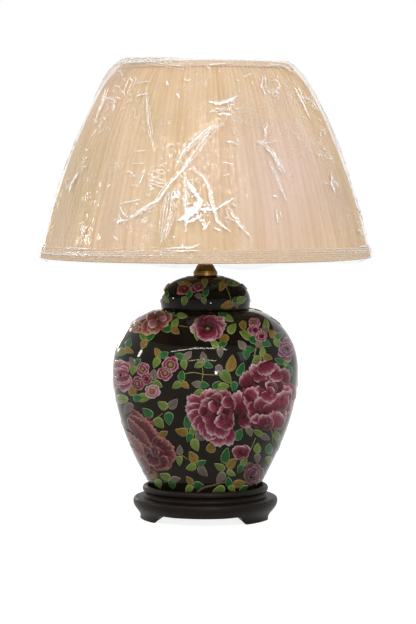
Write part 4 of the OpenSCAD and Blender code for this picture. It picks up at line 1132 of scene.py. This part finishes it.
braid = grown("bottom_braid_rows", braiding, {
    "Rows": 6, "Stitches": 380, "Row depth": 0.0014, "Height": 0.0175, "Columns": 1521, "Threads": 40,
    "Finish": trim_cloth}, "shade")
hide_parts("bottom_braid")

# Clear wrapping: thin crinkled film left on from the shop, drawn tight over the binding, down the
# side and under the braid. It is clear and very shiny, and turns white where it is creased; the white creases
# are partly painted highlights.

film, tree, shader = material_of("clear_film", tint("f6ead8"), 0.12, Specular_IOR_Level=0.7)


def lines_in_patches(tree, scale, width, stretch, shift, patch_scale, low, high, patch_shift):
    """1 on thin wandering lines, in patches, and 0 away from them."""
    def moved(by):
        return term(tree, "ShaderNodeMapping", {"Vector": object_points(tree), "Location": (by, 0, 0)})

    off = (noise(moved(shift), scale, 2, stretch) - 0.5).step("ABSOLUTE")
    return off.ranged(0.0, width, 1.0, 0.0) * noise(moved(patch_shift), patch_scale, 1).ranged(low, high)


# thin white lines in patches, partly the whitening of creased film and partly painted glints
level = lines_in_patches(tree, 50, 0.014, (1, 1, 2.3), 0.3, 13, 0.54, 0.64, 2)
upright = lines_in_patches(tree, 62, 0.012, (1, 1, 0.4), 5, 11, 0.52, 0.62, 7)
tangled = lines_in_patches(tree, 105, 0.03, (1, 1, 1), 9, 16, 0.6, 0.68, 4)
crossed = level.step("MAXIMUM", upright).step("MAXIMUM", tangled)
# where the film bags it is made milkier: a painted sheen for the stronger reflection of film that turns away
bagged = term(tree, "ShaderNodeVertexColor", layer_name="bagged")
feed(shader, "Alpha", crossed.ranged(0, 1, 0.12, 0.6).step("MAXIMUM", bagged * 0.5))
feed(shader, "Base Color", between(crossed, "efd9bf", "fffdf8"))
facets = term(tree, "ShaderNodeTexVoronoi", {"Vector": object_points(tree), "Scale": 62.0}, "Distance")
bumped(shader, facets, 0.0025, 0.4)

film_turns, film_rows, tuck_rows, film_t = 700, 118, 4, 0.9
over = np.radians(np.arange(115, -1, -11.5))
over_rad = outer_rad + film_t
over_r, over_z = by_top(arch_mid + over_rad * np.cos(over), arch_up + over_rad * np.sin(over))
side_downs = np.linspace(2.5, side_len + 3.2, film_rows - len(over) - tuck_rows)
side_outs = np.interp(side_downs, [0, side_len - 16, side_len - 13, side_len + 3.4], [7.0, 7.3, 9.2, 9.4])
film_r, film_z = side_at(side_downs, side_outs)
tuck_r, tuck_z = side_at(np.full(tuck_rows, side_len + 4.0), [8.0, 5.0, 1.0, -3.0])
line_r, line_z = np.concatenate([over_r, film_r, tuck_r]), np.concatenate([over_z, film_z, tuck_z])
film_line = np.stack([line_r, line_z], axis=1)
film_along = run_lengths(film_line)
slope_r, slope_z = np.gradient(line_r, film_along), np.gradient(line_z, film_along)

# where the film bags: turn from the front, way down, half width in turn, half length, height in mm
film_bags = ((-1.25, 26, 0.5, 34, 6.5), (-0.55, 8, 0.25, 14, 2.5), (1.5, 120, 0.3, 60, 3.5),
             (1.35, 30, 0.4, 26, 3.0), (2.6, 60, 0.5, 50, 4.0), (-2.2, 150, 0.4, 60, 4.0))
mean_film_r = 170


def bag_at(turn, along):
    """How far the film bags out, in mm."""
    bag = 0
    for at_turn, at_down, wide, long, high in film_bags:
        away = math.remainder(turn - at_turn, 2 * math.pi) / wide
        bag += high * math.exp(-away * away - ((along - at_down) / long) ** 2)
    return bag


def crinkle(turn, along):
    """How far the film stands off, in mm: taut facets between sharp ridges, and where it bags."""
    spot = Vector((math.sin(turn) * mean_film_r, -math.cos(turn) * mean_film_r, along))
    broad_fold = 1 - abs(field.noise(spot / 34)) * 2.4
    sharp = 1 - abs(field.noise(spot / 11 + Vector((7, 3, 1)))) * 2.6
    fine = 1 - abs(field.noise(spot / 4.5 + Vector((1, 9, 4)))) * 2.2
    return 0.9 * max(broad_fold, 0) ** 3 + 0.6 * max(sharp, 0) ** 4 + 0.25 * fine + bag_at(turn, along)


row = np.arange(film_rows)
fade = np.clip(np.minimum(row - 2, film_rows - 2 - row) / 6, 0.1, 1)  # the ends lie close
hang = np.clip(row - film_rows + 5, 0, 3) * 3.5
grid, bagging = [], []
for i in range(film_turns):
    turn = i * 2 * math.pi / film_turns
    bagging.append([bag_at(turn, s) / 5 for s in film_along])
    out = np.array([crinkle(turn, s) for s in film_along]) * fade
    # the spare film under the braid sags here and there
    sag = hang * max(0, field.noise((turn * 2.2, 3, 5)) - 0.1)
    grid.append(around(line_r - out * slope_z, line_z + out * slope_r - sag, turn))
grid = np.array(grid)
wrap = piece("film_wrap", grid, [f[::-1] for f in loops(grid, closed_columns=False)], film, "shade")
tell_points(wrap.data, "bagged", np.repeat(np.clip(np.array(bagging).ravel(), 0, 1), 4))
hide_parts("clear_wrap")

# the white ridges are partly the whitening of creased film and partly painted highlights
# the photograph's creases, each a run of its pixels from end to end with its width in mm first
film_creases = """0.8 147,87 150,128 155,152 / 2.2 125,93 131,79 134,82 128,93 /
1.0 134,78 137,80 133,90 / 1.6 106,97 116,101 114,111 / 1.0 137,84 152,82 / 1.6 136,97 151,93 /
1.4 124,104 132,101 / 2.6 166,81 169.5,86 / 2.6 176.5,93 180,99 / 2.2 184,79 188,82 192,78.5 /
3.0 208,102 218,105 227,102 239,96.5 / 1.4 208,112.5 218,109 232,110 / 3.0 217,114.5 225,114 232.5,115.5 /
2.2 218,122.5 207,129 193,142 182,154 175,168 / 1.6 224,123 212,130 199,146 192,157 182,168 /
1.2 162,151 170,144 178,146 / 0.8 132,152 146,151 / 0.8 130,164 145,163.5 /
2.4 226,142.5 231,142 239,145.5 / 1.0 222,162 235,165 / 5.0 70.5,193 72,184 79.5,172 /
1.0 121.5,173 129,171 137,176 129,176 / 1.4 146,168 142,179 139,185 132,186 / 0.8 148,179 167,185 /
0.8 148,182.5 165,188 / 0.8 150,176 168,182 / 0.8 152,171 166,175 /
2.6 190,163 180,173 169,185 160,199 146,207 128,220 / 0.9 169.5,190 167.5,211 161,244 /
0.8 172.5,190 171,214 165,240 / 1.0 185,175 186,200 185,228 / 7.0 186,180 192,188 199,199 /
6.0 190,184 197,196 201,202 / 4.0 174,190 176,196 180,199 / 4.0 172,198 178,196 /
9.0 203,200 195,208 187,215 184,221 / 7.0 199,209 190,214 186,222 / 4.0 200,210 207,209 213,210 /
4.0 184,224 195,219 201,216 / 3.4 177,190 180,196 / 3.0 201,222 206,228 202,231 /
3.0 176,222 184,217 190,214 / 2.0 192,169.5 204,178 209.5,190 212,204 217,222 231,232.5 /
2.2 202,211 215,210 225,203.5 236,198 / 1.2 228,207 232,217 251,238 / 1.0 119,204.5 141,199.5 /
2.2 120,206 122,211 128,218 / 4.4 117,223 122,220 127,222 / 1.2 131,220 139,214 150,206 /
2.4 114,236.5 119,240.5 / 1.2 79,224 86,223 / 1.0 81,228 84,238 / 1.2 65.5,248 91,249 /
1.0 160,249.5 193,248 203,243 / 0.8 172,252 199,251 / 1.6 222.5,176.5 231,174 /
1.6 268,161 273,170 279,185 286,202 / 0.9 274,161 279,171 / 3.0 272,195.5 278,197 /
1.6 275.5,208.5 278,224 / 1.2 278,209 283,221 / 1.8 262.5,76 261,86 266,96 / 1.2 265,76 265,88 /
1.2 293,87 302,102 310,120 / 0.9 296,87 305,104 / 1.4 269,82 276,80 280,86 274,92 280,95 /
1.6 267.5,123 265,129 266,136 261,144.5 / 1.2 255,140 262,144.5 276,141 / 1.4 262,145 271,153.5 282,174 /
1.0 265,145 276,158 286,176 / 1.4 208,65.5 232,63.5 / 1.4 264,67 279,65.5 / 2.4 237,80 238,82 /
2.4 251.5,82 252,85 / 1.0 242,78 253.5,73 / 1.0 103,118 108,121 / 1.0 92,137 98,130 / 2.0 86,149 89,151 /
1.0 110,128 112,133 / 2.0 238,142 239,143 / 1.2 197,217 206,224 203,229 / 2.0 210,221 205,229 /
1.4 187,219 186,229 / 3.0 214,228 222,231"""
# where short creases crowd into painted highlights: reach in pixels, number and middle
glint_crowds = """12 16 187,172 / 11 22 194,188 / 13 30 196,212 / 8 10 183,205 / 13 18 140,212 /
6 12 121,221 / 16 20 130,96 / 10 8 112,105 / 13 14 150,184 / 9 10 172,150 / 10 10 160,168 / 9 8 228,108 /
10 8 232,215 / 8 8 262,145 / 12 14 272,88 / 8 6 82,160 / 6 8 73,184 / 6 6 85,232 / 22 12 175,248 /
10 8 100,125 / 26 12 205,66 / 10 10 126,67"""
# white ridges: the whitening of creased film together with painted highlights
crease_white_and_glint, tree, shader = material_of("film_crease", tint("fffefc"), 0.35, Specular_IOR_Level=1.0, IOR=2.2)
whitened_and_glint = term(tree, "ShaderNodeVertexColor", layer_name="whitened_and_glint")
feed(shader, "Alpha", whitened_and_glint * noise(object_points(tree), 420, 2).ranged(0.34, 0.52, 0.5, 1.0))
under_rows = tuck_rows + 2  # rows under the braid, where no crease is drawn
film_skin = skin_of(film_line[:-under_rows][::-1])
ridges = {"points": [], "faces": [], "white": [], "count": 0}


def strand(skin, spot, line, width, whiteness, away, chance):
    """One ridge of folded film along a line in mm beside a spot, white in the middle, partly as creased film
    and partly as a painted highlight.
    """
    smooth = evenly(line, 4, 2.4)
    smooth[1:-1] += np.array([[chance.gauss(0, 0.35), chance.gauss(0, 0.35)] for _ in smooth[1:-1]])
    taper = np.sin(np.linspace(0.12, math.pi - 0.12, len(smooth)))[:, None] ** 0.5
    taper = taper * np.array([chance.uniform(0.45, 1.25) for _ in smooth])[:, None]
    a = np.array([-1, -0.45, 0.45, 1])[None, :]
    flat = ribbon(smooth, a, width * taper)
    along = np.clip(spot[1] + flat[..., 1], 0.5, skin["along"][-1] - 0.5)
    turn = spot[0] + away + flat[..., 0] / np.interp(along, skin["along"], skin["r"])
    down = film_along[-under_rows - 1] - along
    stand_off = np.array([[crinkle(t, d) for t, d in zip(*pair)] for pair in zip(turn, down)])
    height = stand_off + 0.5 + (0.3 + 0.2 * min(width, 3)) * (abs(a) < 1) * taper
    rows, columns = height.shape
    for i in range(rows - 1):
        for j in range(columns - 1):
            k = ridges["count"] + i * columns + j
            ridges["faces"].append((k, k + 1, k + columns + 1, k + columns))
    ridges["points"].append(on_skin(skin, turn, along, height).reshape(-1, 3))
    ridges["white"].append(((abs(a) < 1) * min(whiteness, 1) * np.clip(taper * 1.5, 0, 1)).ravel())
    ridges["count"] += rows * columns


def crease(skin, pixels, width, away, chance):
    """A bundle of strands along a run of pixels, turned round the shade by a given amount."""
    spot = spot_at(skin, *pixels[0])
    line = np.array([flat_offset(skin, spot, *p) for p in pixels])
    strand(skin, spot, line, width * 1.5, chance.uniform(0.85, 1.1), away, chance)
    reach = np.hypot(*(line[-1] - line[0]))
    swing = np.sin(np.linspace(0.3, math.pi - 0.1, len(line)))[:, None]
    for _ in range(min(6, int(reach / 10))):
        push = np.array([[chance.gauss(0, 1), chance.gauss(0, 1)]]) * (1.2 + 0.035 * reach) * swing
        strand(skin, spot, line + push, chance.uniform(0.8, 1.5), chance.uniform(0.45, 0.95), away, chance)


chance = random.Random(3)
for away in (0, 2.09, -2.09):
    for (width,), pixels in read_marks(film_creases):
        crease(film_skin, pixels, float(width), away, chance)
    for (reach, number), ((x, y),) in read_marks(glint_crowds):
        lean = chance.uniform(0, math.pi)
        for _ in range(int(number)):
            a, far = chance.uniform(0, 2 * math.pi), float(reach) * chance.uniform(0, 1) ** 0.6
            px, py = x + far * math.cos(a), y + far * math.sin(a)
            heading, half = chance.gauss(lean, 0.7), chance.uniform(1.2, 3.6)
            dx, dy = half * math.cos(heading), half * math.sin(heading)
            bow = chance.gauss(0, 0.6)
            crease(film_skin, [(px - dx, py - dy), (px - dy * bow, py + dx * bow), (px + dx, py + dy)],
                   chance.uniform(0.5, 1.5), away, chance)
creased = piece("film_creases", np.vstack(ridges["points"]), ridges["faces"], crease_white_and_glint, "shade",
                smooth=False)
tell_points(creased.data, "whitened_and_glint", np.repeat(np.concatenate(ridges["white"]), 4))
